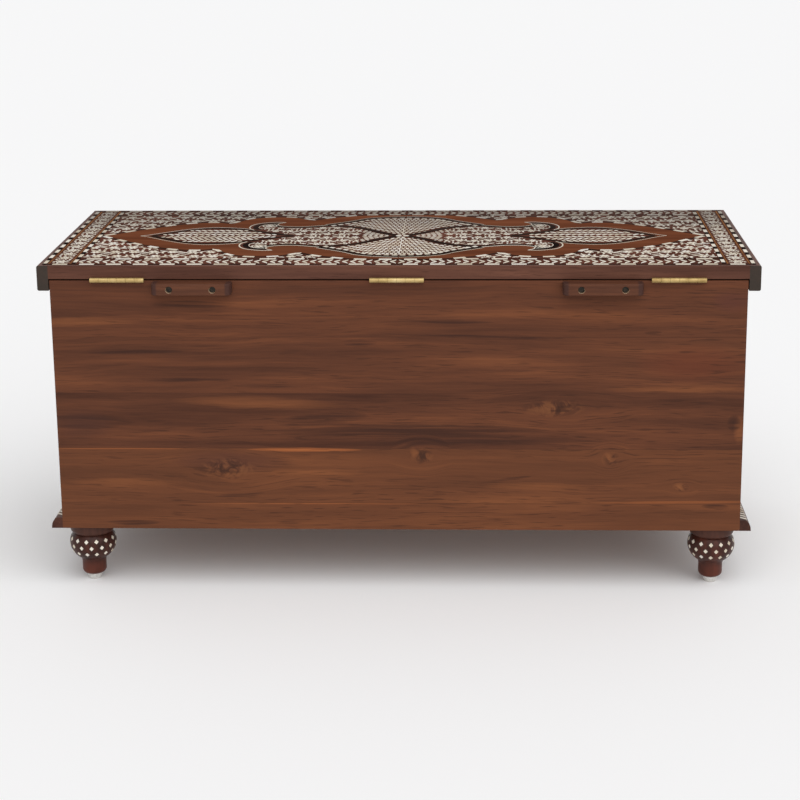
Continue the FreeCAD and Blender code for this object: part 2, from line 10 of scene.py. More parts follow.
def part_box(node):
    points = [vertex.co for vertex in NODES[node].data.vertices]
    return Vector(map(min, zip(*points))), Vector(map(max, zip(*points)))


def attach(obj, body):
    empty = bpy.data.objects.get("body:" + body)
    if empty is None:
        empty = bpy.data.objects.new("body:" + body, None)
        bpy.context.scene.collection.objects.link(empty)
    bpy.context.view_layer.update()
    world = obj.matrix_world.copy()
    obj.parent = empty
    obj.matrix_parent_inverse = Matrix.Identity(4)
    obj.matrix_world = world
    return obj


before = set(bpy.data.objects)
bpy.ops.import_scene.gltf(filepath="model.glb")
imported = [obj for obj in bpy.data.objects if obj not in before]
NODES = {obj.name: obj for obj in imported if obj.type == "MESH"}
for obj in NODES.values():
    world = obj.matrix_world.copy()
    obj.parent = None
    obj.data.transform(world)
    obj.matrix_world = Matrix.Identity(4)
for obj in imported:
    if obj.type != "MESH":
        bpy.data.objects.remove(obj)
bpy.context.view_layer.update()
MM = 0.001
TINY = 1e-9
TURN = 2.0 * math.pi
SIGNS = (1.0, -1.0)
draw = np.random.default_rng(4117)


def box_of(node):
    """The lowest and the highest corner of a CAD part, in millimetres to a hundredth."""
    return [np.round(np.array(corner) / MM, 2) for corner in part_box(node)]


# Lines on a flat face, in millimetres

def smooth(points, per_span=6):
    """A Catmull-Rom curve: each span is the cubic through its two points whose slope at
    either end is half the step between that point's neighbours."""
    p = np.asarray(points, float)
    p = np.vstack([2.0 * p[0] - p[1], p, 2.0 * p[-1] - p[-2]])
    a, b, c, d = p[:-3, None], p[1:-2, None], p[2:-1, None], p[3:, None]
    t = np.linspace(0.0, 1.0, per_span, endpoint=False)[None, :, None]
    square = (2.0 * a - 5.0 * b + 4.0 * c - d) * t**2
    cube = (3.0 * b - a - 3.0 * c + d) * t**3
    curve = 0.5 * (2.0 * b + (c - a) * t + square + cube)
    return np.vstack([curve.reshape(-1, 2), p[-2]])


def chain(*arcs):
    """Smooth arcs end to end, with a sharp point where one meets the next."""
    parts = [smooth(arc) for arc in arcs]
    return np.vstack([parts[0]] + [part[1:] for part in parts[1:]])


def four_fold(quarter):
    """A closed loop from its quarter, which runs from the x axis to the y axis: the quarter
    and its three mirror images, anticlockwise, with the first point repeated at the end."""
    top = np.vstack([quarter, (quarter * (-1.0, 1.0))[::-1][1:]])
    return two_fold(top)


def two_fold(half):
    """A closed loop from its half above the x axis, run anticlockwise, and its mirror image."""
    return np.vstack([half, (half * (1.0, -1.0))[::-1][1:]])


def line(x0, y0, x1, y1):
    """A straight line between two points."""
    return np.array([(x0, y0), (x1, y1)], float)


def running_length(path):
    """Length from the first point of a line to each of its points."""
    step = np.diff(path, axis=0)
    return np.concatenate([[0.0], np.cumsum(np.hypot(step[:, 0], step[:, 1]))])


def walk(path, at, offset):
    """Points at given lengths along a line, set off to its left: place and direction are read
    back from the running length, and left is the direction turned a quarter turn."""
    run = running_length(path)
    aim = np.diff(path, axis=0) / np.maximum(np.diff(run), TINY)[:, None]
    closed = np.allclose(path[0], path[-1])
    before = aim[-1:] if closed else aim[:1]
    after = aim[:1] if closed else aim[-1:]
    aim = np.vstack([before, aim]) + np.vstack([aim, after])
    x, y = (np.interp(at, run, path[:, k]) for k in (0, 1))
    ax, ay = (np.interp(at, run, aim[:, k]) for k in (0, 1))
    size = np.maximum(np.hypot(ax, ay), TINY)
    return np.stack([x - offset * ay / size, y + offset * ax / size], -1)


def resample(path, count):
    """A line as a given number of points at even lengths."""
    return walk(path, np.linspace(0.0, running_length(path)[-1], count), 0.0)


# Pairs of edges, left and right, each an array of strips by rungs by x and y

def strips(path, start, stop, offset, width, rungs=2, slant=0.0):
    """The two edges of strips beside a line, from start to stop along it. Rungs are spaced
    evenly, and slant moves the left edge ahead of the right one."""
    share = np.linspace(0.0, 1.0, rungs)
    at = start[:, None] + (stop - start)[:, None] * share
    left = walk(path, at + slant, offset + 0.5 * width)
    right = walk(path, at - slant, offset - 0.5 * width)
    return left, right


def ribbon(path, offset, width, step=3.0):
    """One unbroken strip along a whole line."""
    total = running_length(path)[-1]
    rungs = int(total / step) + 2
    return strips(path, np.zeros(1), np.full(1, total), offset, width, rungs)


def bricks(path, offset, width, pitch, fill=0.5, rungs=2):
    """Blocks at an even pitch along a line: its length is shared out into a whole number of
    pitches, and the block takes the middle of each."""
    total = running_length(path)[-1]
    count = max(1, round(total / pitch))
    step = total / count
    start = (np.arange(count) + 0.5 * (1.0 - fill)) * step
    return strips(path, start, start + fill * step, offset, width, rungs)


def half_plate(upper, lower, count=44):
    """The two edges of a plate ruled between an upper and a lower line."""
    return resample(upper, count)[None], resample(lower, count)[None]


def only(pair, keep):
    """Those strips of a pair of edges that a mask keeps."""
    return pair[0][keep], pair[1][keep]


def middle(pair):
    """The middle point of each strip."""
    return 0.5 * (pair[0] + pair[1]).mean(1)


def flipped(pair, x, y):
    """A pair of edges mirrored: one mirror turns left into right, two leave it."""
    left, right = pair[0] * (x, y), pair[1] * (x, y)
    return (left, right) if x * y > 0 else (right, left)


def quarters(*pairs):
    """Pairs of edges of one quarter, cut off at the middle lines, each in all four quarters."""
    cut = [(np.maximum(left, 0.0), np.maximum(right, 0.0)) for left, right in pairs]
    return [flipped(pair, x, y) for pair in cut for x in SIGNS for y in SIGNS]


# Room: how far points lie within a bound, in millimetres, negative outside it

def gap_to(points, path):
    """The least distance from each point to the spans of a line."""
    a = path[:-1]
    d = np.diff(path, axis=0)
    rel = points[:, None, :2] - a
    share = np.clip((rel * d).sum(-1) / np.maximum((d * d).sum(-1), TINY), 0.0, 1.0)
    return np.sqrt(((rel - share[..., None] * d) ** 2).sum(-1)).min(1)


def room_inside(points, loop):
    """How far points lie inside a closed loop: the distance to it, taken as negative where a
    ray to the right meets the loop an even number of times."""
    a = loop[:-1]
    d = np.diff(loop, axis=0)
    y = points[:, None, 1]
    spans = (a[:, 1] > y) != (a[:, 1] + d[:, 1] > y)
    rise = np.where(np.abs(d[:, 1]) < TINY, TINY, d[:, 1])
    meets = spans & (points[:, None, 0] < a[:, 0] + (y - a[:, 1]) * d[:, 0] / rise)
    gap = gap_to(points, loop)
    return np.where(meets.sum(1) % 2 == 1, gap, -gap)


def room_in_box(points, x0, x1, y0, y1):
    """How far points lie inside an upright rectangle."""
    x, y = points[:, 0], points[:, 1]
    return np.minimum(np.minimum(x - x0, x1 - x), np.minimum(y - y0, y1 - y))


# Leaf chips. A table has one row for each: x, y, heading, length, width, bow

LEAF_ALONG = np.array([-0.5, -0.24, 0.14, 0.5])
LEAF_BREADTH = np.array([0.42, 1.0, 0.8, 0.1])
DASH_ALONG = np.array([-0.5, -0.3, 0.3, 0.5])
DASH_BREADTH = np.array([0.5, 1.0, 1.0, 0.5])
PLUMPEST = 0.62


def leaf_rows(x, y, heading, length, width, bow):
    """A table of chips from arrays that broadcast together."""
    values = np.broadcast_arrays(x, y, heading, length, width, bow)
    return np.stack([value.ravel() for value in values], -1).astype(float)


def leaf_edges(table, along=LEAF_ALONG, breadth=LEAF_BREADTH):
    """The two edges of leaf chips: a spine bowed as a parabola, with a half width at each of
    its four rungs that swells behind the middle and runs out to a point."""
    x, y, heading, length, width, bow = (table[:, k, None] for k in range(6))
    ahead = along * length
    aside = bow * length * (0.25 - along**2)
    half = 0.5 * width * breadth
    c, s = np.cos(heading), np.sin(heading)

    def turned(off):
        return np.stack([x + ahead * c - off * s, y + ahead * s + off * c], -1)

    return turned(aside + half), turned(aside - half)


def dash_edges(table):
    """The two edges of short blunt chips, on the same table as leaves."""
    return leaf_edges(table, DASH_ALONG, DASH_BREADTH)


def mirror_x(table):
    """Rows mirrored left to right."""
    turned = table * (-1.0, 1.0, -1.0, 1.0, 1.0, -1.0)
    turned[:, 2] += math.pi
    return turned


def mirror_y(table):
    """Rows mirrored top to bottom."""
    return table * (1.0, -1.0, -1.0, 1.0, 1.0, -1.0)


def all_quarters(table):
    """Rows of one quarter with their three mirror images."""
    half = np.vstack([table, mirror_x(table)])
    return np.vstack([half, mirror_y(half)])


def fitted(table, room, least=2.8, margin=0.5):
    """Chips cut down to the room about their middles, and left out where under the least
    length is left. No chip is plumper than one share of its length."""
    reach = np.minimum(table[:, 3], 2.0 * (room - margin))
    cut = table.copy()
    cut[:, 3] = reach
    cut[:, 4] = np.minimum(table[:, 4], PLUMPEST * reach)
    return cut[reach > least]


def grid(across, up):
    """The column and the row number of each place of a grid, as two flat arrays."""
    return [axis.ravel() for axis in np.meshgrid(np.arange(across), np.arange(up), indexing="ij")]


def columns(*values):
    """Arrays turned into columns, so that one row of them meets a row of leaves."""
    return tuple(np.asarray(value, float).reshape(-1, 1) for value in values)


# A flower: its petals' place out, length and width as shares of its radius, and their turn

PETAL_OUT, PETAL_LONG, PETAL_WIDE, PETAL_TURN = 0.58, 0.98, 0.64, 0.25


def flowers(x, y, radius, petals=5):
    """Small flowers: petals pointing in at even angles about each middle."""
    x, y, radius = columns(x, y, radius)
    angle = TURN * (np.arange(petals) + PETAL_TURN)[None, :] / petals
    px, py = x + PETAL_OUT * radius * np.cos(angle), y + PETAL_OUT * radius * np.sin(angle)
    return leaf_rows(px, py, angle + math.pi, PETAL_LONG * radius, PETAL_WIDE * radius, 0.0)


# A sprig: turns, rim and fall of its leaves and its stem, then the leaves' own shares and its heart

SCROLL_TURNS, SCROLL_RIM, SCROLL_FALL = 0.93, 0.56, 0.06
CURL_TURNS, CURL_RIM, CURL_FALL = 1.12, 0.52, 0.22
SCROLL_LEAVES, SCROLL_LEAN, SCROLL_LONG, SCROLL_TAPER = 8, 0.70, 0.62, 0.22
SCROLL_PLUMP, SCROLL_BOW, SCROLL_HEART = 0.31, 0.9, 0.30


def scrolls(x, y, hand, radius, start):
    """Sprigs wound as spirals about their middles: leaves stand out and lean back at even steps
    of one turn of the stem, each a little smaller than the last, and petals fill the heart."""
    x, y, hand, radius, start = columns(x, y, hand, radius, start)
    t = np.linspace(0.0, 1.0, SCROLL_LEAVES)[None, :]
    angle = start + hand * TURN * SCROLL_TURNS * t
    reach = radius * (SCROLL_RIM - SCROLL_FALL * t)
    heading = angle + hand * (0.25 * TURN - SCROLL_LEAN)
    length = radius * SCROLL_LONG * (1.0 - SCROLL_TAPER * t)
    mx = x + reach * np.cos(angle) + 0.5 * length * np.cos(heading)
    my = y + reach * np.sin(angle) + 0.5 * length * np.sin(heading)
    leaves = leaf_rows(mx, my, heading, length, SCROLL_PLUMP * length, SCROLL_BOW * hand)
    return np.vstack([leaves, flowers(x, y, SCROLL_HEART * radius)])


def stems(x, y, hand, radius, start, width, rungs=10):
    """The two edges of spiral stems: the radius falls evenly over a little more than a turn,
    and the edges lie half a width to either side of it."""
    x, y, hand, radius, start = columns(x, y, hand, radius, start)
    t = np.linspace(0.0, 1.0, rungs)[None, :]
    angle = start + hand * TURN * CURL_TURNS * t
    reach = radius * (CURL_RIM - CURL_FALL * t)
    off = 0.5 * width * hand

    def edge(r):
        return np.stack([x + r * np.cos(angle), y + r * np.sin(angle)], -1)

    return edge(reach - off), edge(reach + off)


# A band of sprigs, in shares of its width: pitch and radius, and the slim leaves between them

SPRIG_PITCH, SPRIG_RADIUS = 1.02, 0.53
SLIM_OUT, SLIM_LONG, SLIM_WIDE = 0.37, 0.30, 0.16


def scroll_row(x, half_run, width):
    """An upright band of scrolls, as the sprigs and the table of their leaves: sprigs spaced at
    about the band's width, turning by turns each way, with a slim leaf in each gap on both sides."""
    count = max(2, round(2.0 * half_run / (SPRIG_PITCH * width)))
    k = np.arange(count)
    y = half_run * (2.0 * k + 1.0 - count) / count
    hand = np.where(k % 2 == 0, 1.0, -1.0)
    start = 0.25 * TURN * (1.0 - hand)
    sprigs = np.full(count, x), y, hand, np.full(count, SPRIG_RADIUS * width), start
    gaps = columns(half_run * (2.0 * np.arange(1, count) - count) / count)[0]
    aside = SLIM_OUT * width * np.array([SIGNS])
    slim = leaf_rows(x + aside, gaps, 0.25 * TURN, SLIM_LONG * width, SLIM_WIDE * width, 0.0)
    return sprigs, np.vstack([scrolls(*sprigs), slim])


# Paired leaves: pitch, place of the tip, lean, length, plumpness and bow, and half the gap between two

PAIR_PITCH, PAIR_TIP, PAIR_LEAN, PAIR_LONG = 11.4, 0.86, 0.96, 0.56
PAIR_PLUMP, PAIR_BOW, PAIR_GAP = 0.26, 0.3, 0.4


def leaf_pairs(half_run, y, width):
    """A level band of paired leaves: each pair opens towards the middle from a point, and both
    leaves run back and out from it to the edges of the band."""
    count = round(half_run / PAIR_PITCH)
    tip = (np.arange(count) + PAIR_TIP) * half_run / count
    length = PAIR_LONG * width
    x = tip - 0.5 * length * math.cos(PAIR_LEAN)
    up = 0.5 * length * math.sin(PAIR_LEAN) + PAIR_GAP
    upper = leaf_rows(x, up, math.pi - PAIR_LEAN, length, PAIR_PLUMP * length, PAIR_BOW)
    pairs = np.vstack([upper, mirror_y(upper)]) + (0.0, y, 0.0, 0.0, 0.0, 0.0)
    return np.vstack([pairs, mirror_x(pairs)])


# Creepers: leaves in a wave, the lag between stems, their sway, and the leaves and flowers on them

WAVE_LEAVES, WAVE_LAG, WAVE_SWAY = 8, 0.37, 0.24
CREEPER_LONG, CREEPER_PLUMP, CREEPER_LEAN, CREEPER_BOW = 0.42, 0.26, 0.62, 0.8
CREEPER_FLOWER, FLOWER_DROP, FLOWER_ROOM = 0.22, 0.30, 0.33
STEM_SHIFTS = ((1.0, 0.25), (-1.0, 0.75))


def creepers(corner_x, corner_y, pitch, step, width):
    """A quarter of a field of creepers, set out inwards from its outer corner, as a table of
    leaves and the two edges of the stems. The stems run across as sine waves, every other one
    upside down and each a share of a wave behind the last. Curved leaves stand off both sides at
    an even step, each at one angle to the slope of the stem there, and a flower fills each bend."""
    rows, steps, bend = math.ceil(corner_y / pitch), math.ceil(corner_x / step), WAVE_LEAVES * step
    i, j = columns(*grid(steps, rows))
    hand = 1.0 - 2.0 * (j % 2)
    sway, length = WAVE_SWAY * pitch, CREEPER_LONG * pitch

    def swing(x):
        return TURN * (x / bend + WAVE_LAG * j)

    def height(x):
        return corner_y - (j + 0.5) * pitch + sway * hand * np.sin(swing(x))

    def side(sign, shift):
        x = corner_x - (i + shift) * step
        slope = np.arctan(sway * hand * np.cos(swing(x)) * TURN / bend)
        heading = slope + sign * (0.25 * TURN + CREEPER_LEAN * hand)
        mx = x + 0.5 * length * np.cos(heading)
        my = height(x) + sign * 0.5 * width + 0.5 * length * np.sin(heading)
        return leaf_rows(mx, my, heading, length, CREEPER_PLUMP * length, CREEPER_BOW * sign * hand)

    k, row = columns(*grid(2 * steps // WAVE_LEAVES + 3, rows))
    crest = (1.0 - 2.0 * (k % 2)) * (1.0 - 2.0 * (row % 2))
    flower_x = bend * (0.5 * (k + 0.5) - (WAVE_LAG * row) % 1.0)
    flower_y = corner_y - (row + 0.5) * pitch + crest * (sway - FLOWER_DROP * pitch)
    posies = flowers(flower_x, flower_y, np.full(k.shape, CREEPER_FLOWER * pitch), 6)
    leaves = np.vstack([side(sign, shift) for sign, shift in STEM_SHIFTS])
    away = np.hypot(leaves[:, :1] - flower_x.T, leaves[:, 1:2] - flower_y.T).min(1)
    x = corner_x - (i + 1.0 - np.linspace(0.0, 1.0, 3)) * step
    y = height(x)
    edges = np.stack([x, y + 0.5 * width], -1), np.stack([x, y - 0.5 * width], -1)
    return np.vstack([leaves[away > FLOWER_ROOM * pitch], posies]), edges


def trimmed(leaves, stem, room, margin):
    """Creepers cut to the room that a rule gives at each point: leaves are cut down to it, and a
    step of a stem is left out where an edge of it has less room than the margin."""
    left, right = (room(edge.reshape(-1, 2)).reshape(edge.shape[:2]).min(1) for edge in stem)
    return fitted(leaves, room(leaves[:, :2])), only(stem, np.minimum(left, right) > margin)


def ring_chips(rings, first, step, apart, length, width):
    """Short chips that point away from a middle, on rings at an even step: each ring holds a
    multiple of four at about one spacing, and every other ring is turned by half a space."""
    most = 4 * math.ceil(0.25 * TURN * (first + step * rings) / apart) + 8
    ring, k = grid(rings, most)
    radius = first + step * ring
    count = np.maximum(8.0, 4.0 * np.round(0.25 * TURN * radius / apart))
    angle = TURN * (k + 0.5 * (ring % 2) + 0.25) / count
    chips = leaf_rows(radius * np.cos(angle), radius * np.sin(angle), angle, length, width, 0.0)
    return chips[k < count]


# Solids from those edges

class Face:
    """A flat face of the trunk: a point on it, the directions across and up it, and its
    outward normal, which is across times up."""

    def __init__(self, origin, across, up):
        self.origin = np.array(origin, float)
        self.across = np.array(across, float)
        self.up = np.array(up, float)
        self.normal = np.cross(self.across, self.up)

    def place(self, points):
        """Face points, across, up and out in millimetres, as points of the frame in metres."""
        out = points[..., 0:1] * self.across + points[..., 1:2] * self.up
        return (self.origin + out + points[..., 2:3] * self.normal) * MM

    def bars(self, pair, low, high):
        """Corners of closed bars: at each rung the left and right edge, low and high."""

        def at(edge, height):
            return np.concatenate([edge, np.full(edge.shape[:-1] + (1,), height)], -1)

        left, right = pair
        corners = (at(left, low), at(right, low), at(right, high), at(left, high))
        return self.place(np.stack(corners, 2))


def bar_mesh(name, groups):
    """A mesh of closed bars: a four-cornered profile carried along each bar's rungs, with a
    quad at either end. Every bar carries one even random tint for its material."""
    points, quads, tints, base = [], [], [], 0
    for corners in groups:
        count, rungs = corners.shape[:2]
        index = base + np.arange(count * rungs * 4).reshape(count, rungs, 4)
        near, far = index[:, :-1], index[:, 1:]
        sides = np.stack([near, far, np.roll(far, -1, 2), np.roll(near, -1, 2)], -1)
        quads += [sides.reshape(-1, 4), index[:, 0], index[:, -1, ::-1]]
        points.append(corners.reshape(-1, 3))
        tints.append(np.repeat(draw.uniform(0.0, 1.0, count), rungs * 4))
        base += count * rungs * 4
    points, quads, tints = np.vstack(points), np.vstack(quads), np.concatenate(tints)
    mesh = bpy.data.meshes.new(name)
    mesh.vertices.add(len(points))
    mesh.vertices.foreach_set("co", points.astype(np.float32).ravel())
    mesh.loops.add(quads.size)
    mesh.loops.foreach_set("vertex_index", quads.astype(np.int32).ravel())
    mesh.polygons.add(len(quads))
    mesh.polygons.foreach_set("loop_start", np.arange(0, quads.size, 4, dtype=np.int32))
    mesh.update(calc_edges=True)
    mesh.shade_flat()
    tint = mesh.attributes.new("tint", "FLOAT", "POINT")
    tint.data.foreach_set("value", tints.astype(np.float32))
    return mesh


def add_piece(name, groups, body, finish):
    """A piece of the trunk that rides on a body, made of closed bars in one finish."""
    piece = bpy.data.objects.new(name, bar_mesh(name, groups))
    bpy.context.scene.collection.objects.link(piece)
    piece.data.materials.append(finish)
    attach(piece, body)


# Shader maths

def tone(red, green, blue):
    """A colour of 0 to 255 as screens show it, as the linear colour that sockets take."""
    value = np.array([red, green, blue]) / 255.0
    linear = np.where(value <= 0.04045, value / 12.92, ((value + 0.055) / 1.055) ** 2.4)
    return (*linear.tolist(), 1.0)


class Wire:
    """A shader socket. Arithmetic on it adds Math nodes, so masks read as plain sums."""

    def __init__(self, tree, socket=None):
        self.tree = tree
        self.socket = socket

    def node(self, kind, settings=None, inputs=None, out=0):
        """Adds one node: its settings first, with a ramp's stops, then its sockets."""
        made = self.tree.nodes.new(kind)
        for key, value in (settings or {}).items():
            if key == "stops":
                ramp = made.color_ramp
                while len(ramp.elements) < len(value):
                    ramp.elements.new(1.0)
                for element, (position, colour) in zip(ramp.elements, value):
                    element.position = position
                    element.color = colour
            else:
                setattr(made, key, value)
        for key, value in (inputs or {}).items():
            if isinstance(value, Wire):
                self.tree.links.new(value.socket, made.inputs[key])
            else:
                made.inputs[key].default_value = value
        return Wire(self.tree, made.outputs[out]) if len(made.outputs) else None

    def maths(self, operation, *others):
        """A Math node on this value and any others."""
        inputs = dict(enumerate((self, *others)))
        return self.node("ShaderNodeMath", {"operation": operation}, inputs)

    def __rsub__(self, other):
        return self.node("ShaderNodeMath", {"operation": "SUBTRACT"}, {0: other, 1: self})

    __add__ = __radd__ = partialmethod(maths, "ADD")
    __sub__ = partialmethod(maths, "SUBTRACT")
    __mul__ = __rmul__ = partialmethod(maths, "MULTIPLY")
    __truediv__ = partialmethod(maths, "DIVIDE")
    __pow__ = partialmethod(maths, "POWER")
    floor = partialmethod(maths, "FLOOR")
    wave = partialmethod(maths, "SINE")
    size = partialmethod(maths, "ABSOLUTE")
    above = partialmethod(maths, "GREATER_THAN")
    over = partialmethod(maths, "MAXIMUM")

    def between(self, low, high):
        """0 below low, 1 above high and a smooth rise from one to the other."""
        settings = {"interpolation_type": "SMOOTHSTEP"}
        return self.node("ShaderNodeMapRange", settings, {"Value": self, 1: low, 2: high})

    def mix(self, first, second):
        """The first colour where this is 0 and the second where it is 1."""
        return self.node("ShaderNodeMix", {"data_type": "RGBA"}, {0: self, 6: first, 7: second}, 2)

    def ramp(self, *stops):
        """A colour for this value, from stops of a position and its colour."""
        return self.node("ShaderNodeValToRGB", {"stops": stops}, {0: self})

    def stretch(self, x, y, z):
        """Coordinates scaled along each axis."""
        return self.node("ShaderNodeMapping", {}, {"Vector": self, "Scale": (x, y, z)})

    def drawn_out(self, along, slow, fast):
        """Coordinates scaled to change slowly along one axis and fast across it."""
        return self.stretch(*[slow if axis == along else fast for axis in "xyz"])

    def noise(self, scale, detail=2.0, roughness=0.5, twist=0.0):
        """Soft noise at these coordinates, about 0.5."""
        inputs = {"Vector": self, "Scale": scale, "Detail": detail}
        inputs.update({"Roughness": roughness, "Distortion": twist})
        return self.node("ShaderNodeTexNoise", {}, inputs)

    def parts(self):
        """The x, y and z of coordinates."""
        split = self.node("ShaderNodeSeparateXYZ", {}, {0: self})
        return tuple(Wire(self.tree, output) for output in split.socket.node.outputs)

    def point(self, x, y, z):
        """Coordinates from x, y and z."""
        return self.node("ShaderNodeCombineXYZ", {}, {0: x, 1: y, 2: z})


def most_of(masks):
    """The greatest of several masks."""
    return reduce(Wire.over, masks)


def spot(x, z, centre_x, centre_z, half_x, half_z, slope=0.0):
    """A soft oval, which may slope: 1 in the middle, falling as a parabola to 0 at its edge."""
    across = (x - centre_x) / half_x
    up = (z - x * slope - (centre_z - centre_x * slope)) / half_z
    return (1.0 - across * across - up * up).over(0.0)


def start_finish(name):
    """A new material and the Object coordinates of what wears it."""
    material = bpy.data.materials.new(name)
    material.use_nodes = True
    material.node_tree.nodes.clear()
    place = Wire(material.node_tree).node("ShaderNodeTexCoord", out="Object")
    return material, place


def end_finish(material, place, colour, roughness, bump, depth, **constants):
    """Joins colour, roughness and relief into one surface. Constants go on its own sockets."""
    relief = {"Strength": 0.6, "Distance": depth, "Height": bump}
    normal = place.node("ShaderNodeBump", {}, relief)
    inputs = {"Base Color": colour, "Roughness": roughness, "Normal": normal}
    inputs.update({key.replace("_", " "): value for key, value in constants.items()})
    surface = place.node("ShaderNodeBsdfPrincipled", {}, inputs)
    place.node("ShaderNodeOutputMaterial", {}, {"Surface": surface})
    return material


# Woods

def grain(place, along, wander):
    """Grain that runs along one axis: broad figure, fibres and pores, each noise drawn out
    along the axis, on coordinates that wander slowly from side to side."""
    sway = (place.drawn_out(along, 1.6, 5.0).noise(1.0, 2.0) - 0.5) * (2.0 * wander)
    parts = zip("xyz", place.parts())
    bent = place.point(*[part if axis == along else part + sway for axis, part in parts])
    figure = bent.drawn_out(along, 2.4, 34.0).noise(1.0, 3.0, 0.55)
    fibre = bent.drawn_out(along, 9.0, 260.0).noise(1.0, 3.0, 0.6)
    pores = bent.drawn_out(along, 42.0, 620.0).noise(1.0, 1.0)
    return figure, fibre, pores


def plain_wood(name, along, tones, roughness, specular, wander=0.010, marks=None):
    """A waxed wood in three tones, from dark to light, whose grain runs along one axis. Marks
    gives masks, each with the tone that the wood takes there."""
    material, place = start_finish(name)
    dark, middling, light = (tone(*shade) for shade in tones)
    figure, fibre, pores = grain(place, along, wander)
    colour = (figure * 0.62 + fibre * 0.38).ramp((0.30, dark), (0.50, middling), (0.70, light))
    ticks = pores.between(0.60, 0.72) * 0.45
    colour = ticks.mix(colour, dark)
    for mask, mark in marks(place) if marks else ():
        colour = mask.mix(colour, mark)
    shine = roughness + 0.14 * (0.5 - fibre)
    relief = fibre * 0.6 - ticks
    return end_finish(material, place, colour, shine, relief, 0.0002, Specular_IOR_Level=specular)


LIP_LOW, LIP_HIGH = box_of("lid_lip_left")
LIP_SAWN = 1.4


def lip_ends(place):
    """The sawn back ends of the lips, dull and grey."""
    start = (LIP_HIGH[1] - LIP_SAWN) * MM
    return ((place.parts()[1].between(start, start + MM) * 0.85, tone(60, 56, 51)),)


# Stop blocks, in metres: middle, height, outer face, screws, counterbores and rounded ends

STOP_LOW, STOP_HIGH = box_of("lid_stop_block_right")
STOP_MIDDLE, STOP_HEIGHT = 0.5 * (STOP_LOW + STOP_HIGH)[::2] * MM
STOP_FACE = STOP_HIGH[1] * MM
STOP_SCREW_STEP = 0.0305
STOP_BORE = 0.0053
STOP_ENDS = (0.0465, 0.0500)


def block_shade_and_highlight(place):
    """Painted light on the stop blocks: painted shade on their rounded ends, and a painted
    highlight, pale all round inside their counterbores."""
    x, y, z = place.parts()
    from_middle = (x.size() - STOP_MIDDLE).size()
    across, up = from_middle - STOP_SCREW_STEP, z - STOP_HEIGHT
    near_bore = 1.0 - (across * across + up * up).above(STOP_BORE**2)
    # painted shade on the rounded ends of the blocks
    ends = from_middle.between(*STOP_ENDS) * 0.75
    # painted highlight on the walls inside the counterbores
    bore_highlight = near_bore * (1.0 - y.above(STOP_FACE - 0.2 * MM))
    return (ends, tone(64, 44, 41)), (bore_highlight, tone(196, 170, 142))


# The back's figure and the painted highlights along its seams, in metres: middle across and up, half
# length and height, then slope, strength, tone

BOARD_LOW, BOARD_HIGH = box_of("back_board_4")
BOARD_FOOT = BOARD_LOW[2] * MM
BOARD_WIDTH = (BOARD_HIGH[2] - BOARD_LOW[2]) * MM
DARK_STREAKS = (
    (-0.050, 0.2250, 0.230, 0.0080, 0.0),
    (-0.020, 0.2390, 0.200, 0.0130, 0.0),
    (0.378, 0.3563, 0.074, 0.0046, 0.0),
    (0.053, 0.3690, 0.026, 0.0044, 0.0),
    (0.154, 0.3547, 0.017, 0.0030, -0.10),
    (0.303, 0.3150, 0.070, 0.0030, 0.0),
    (0.180, 0.3055, 0.070, 0.0026, 0.0),
    (0.450, 0.2523, 0.070, 0.0110, 0.0),
    (0.110, 0.2560, 0.070, 0.0090, -0.08),
    (-0.063, 0.3988, 0.075, 0.0050, 0.0),
    (-0.130, 0.3785, 0.160, 0.0022, 0.02),
    (-0.477, 0.2520, 0.010, 0.0130, 0.0),
    (-0.150, 0.1655, 0.048, 0.0026, -0.15),
    (-0.243, 0.1320, 0.024, 0.0030, 0.0),
    (-0.454, 0.1260, 0.020, 0.0042, 0.0),
    (0.231, 0.1420, 0.038, 0.0030, -0.06),
    (0.386, 0.0993, 0.040, 0.0040, 0.0),
    (0.290, 0.4250, 0.060, 0.0060, 0.0),
)
# Painted highlights: pale lines along the seams between boards, where the boards' edges catch the light
SEAM_HIGHLIGHTS = (
    (0.135, 0.2108, 0.084, 0.0032, 0.0, 0.80),
    (0.400, 0.2118, 0.110, 0.0011, 0.0, 0.46),
    (-0.400, 0.1330, 0.120, 0.0024, -0.012, 0.42),
    (0.120, 0.1292, 0.170, 0.0010, 0.0, 0.48),
)
WARM_PATCHES = (
    (-0.410, 0.3020, 0.120, 0.0060, 0.0),
    (0.200, 0.2800, 0.130, 0.0100, 0.03),
    (-0.485, 0.2423, 0.009, 0.0220, 0.0),
    (-0.024, 0.2050, 0.008, 0.0090, 0.6),
    (-0.298, 0.1990, 0.008, 0.0110, 0.0),
    (-0.402, 0.1570, 0.010, 0.0060, 0.0),
    (0.395, 0.1600, 0.085, 0.0070, 0.0),
    (0.130, 0.1760, 0.090, 0.0060, 0.0),
    (-0.200, 0.1560, 0.080, 0.0080, 0.0),
    (0.450, 0.3990, 0.090, 0.0080, 0.0),
)
STAINS = (
    ((0.240, 0.1930, 0.090, 0.0190), 0.60, tone(74, 46, 40)),
    ((-0.418, 0.3400, 0.085, 0.0300), 0.50, tone(106, 55, 38)),
    ((-0.470, 0.4300, 0.034, 0.0180), 0.60, tone(90, 53, 45)),
    ((0.455, 0.2480, 0.050, 0.0260), 0.45, tone(74, 47, 40)),
)
KNOTS = (
    (0.247, 0.1815, 0.044, 0.0180),
    (-0.033, 0.2020, 0.018, 0.0140),
    (-0.304, 0.1980, 0.013, 0.0120),
    (-0.222, 0.2737, 0.048, 0.0140),
    (-0.405, 0.1555, 0.012, 0.0070),
)


def round_knots(x, z):
    """Height on the back with the grain pushed apart round each knot."""
    bulge = z
    for centre_x, centre_z, half_x, half_z in KNOTS:
        near = spot(x, z, centre_x, centre_z, 2.6 * half_x, 2.4 * half_z)
        bulge = bulge - near * (z - centre_z) * 0.72
    return bulge


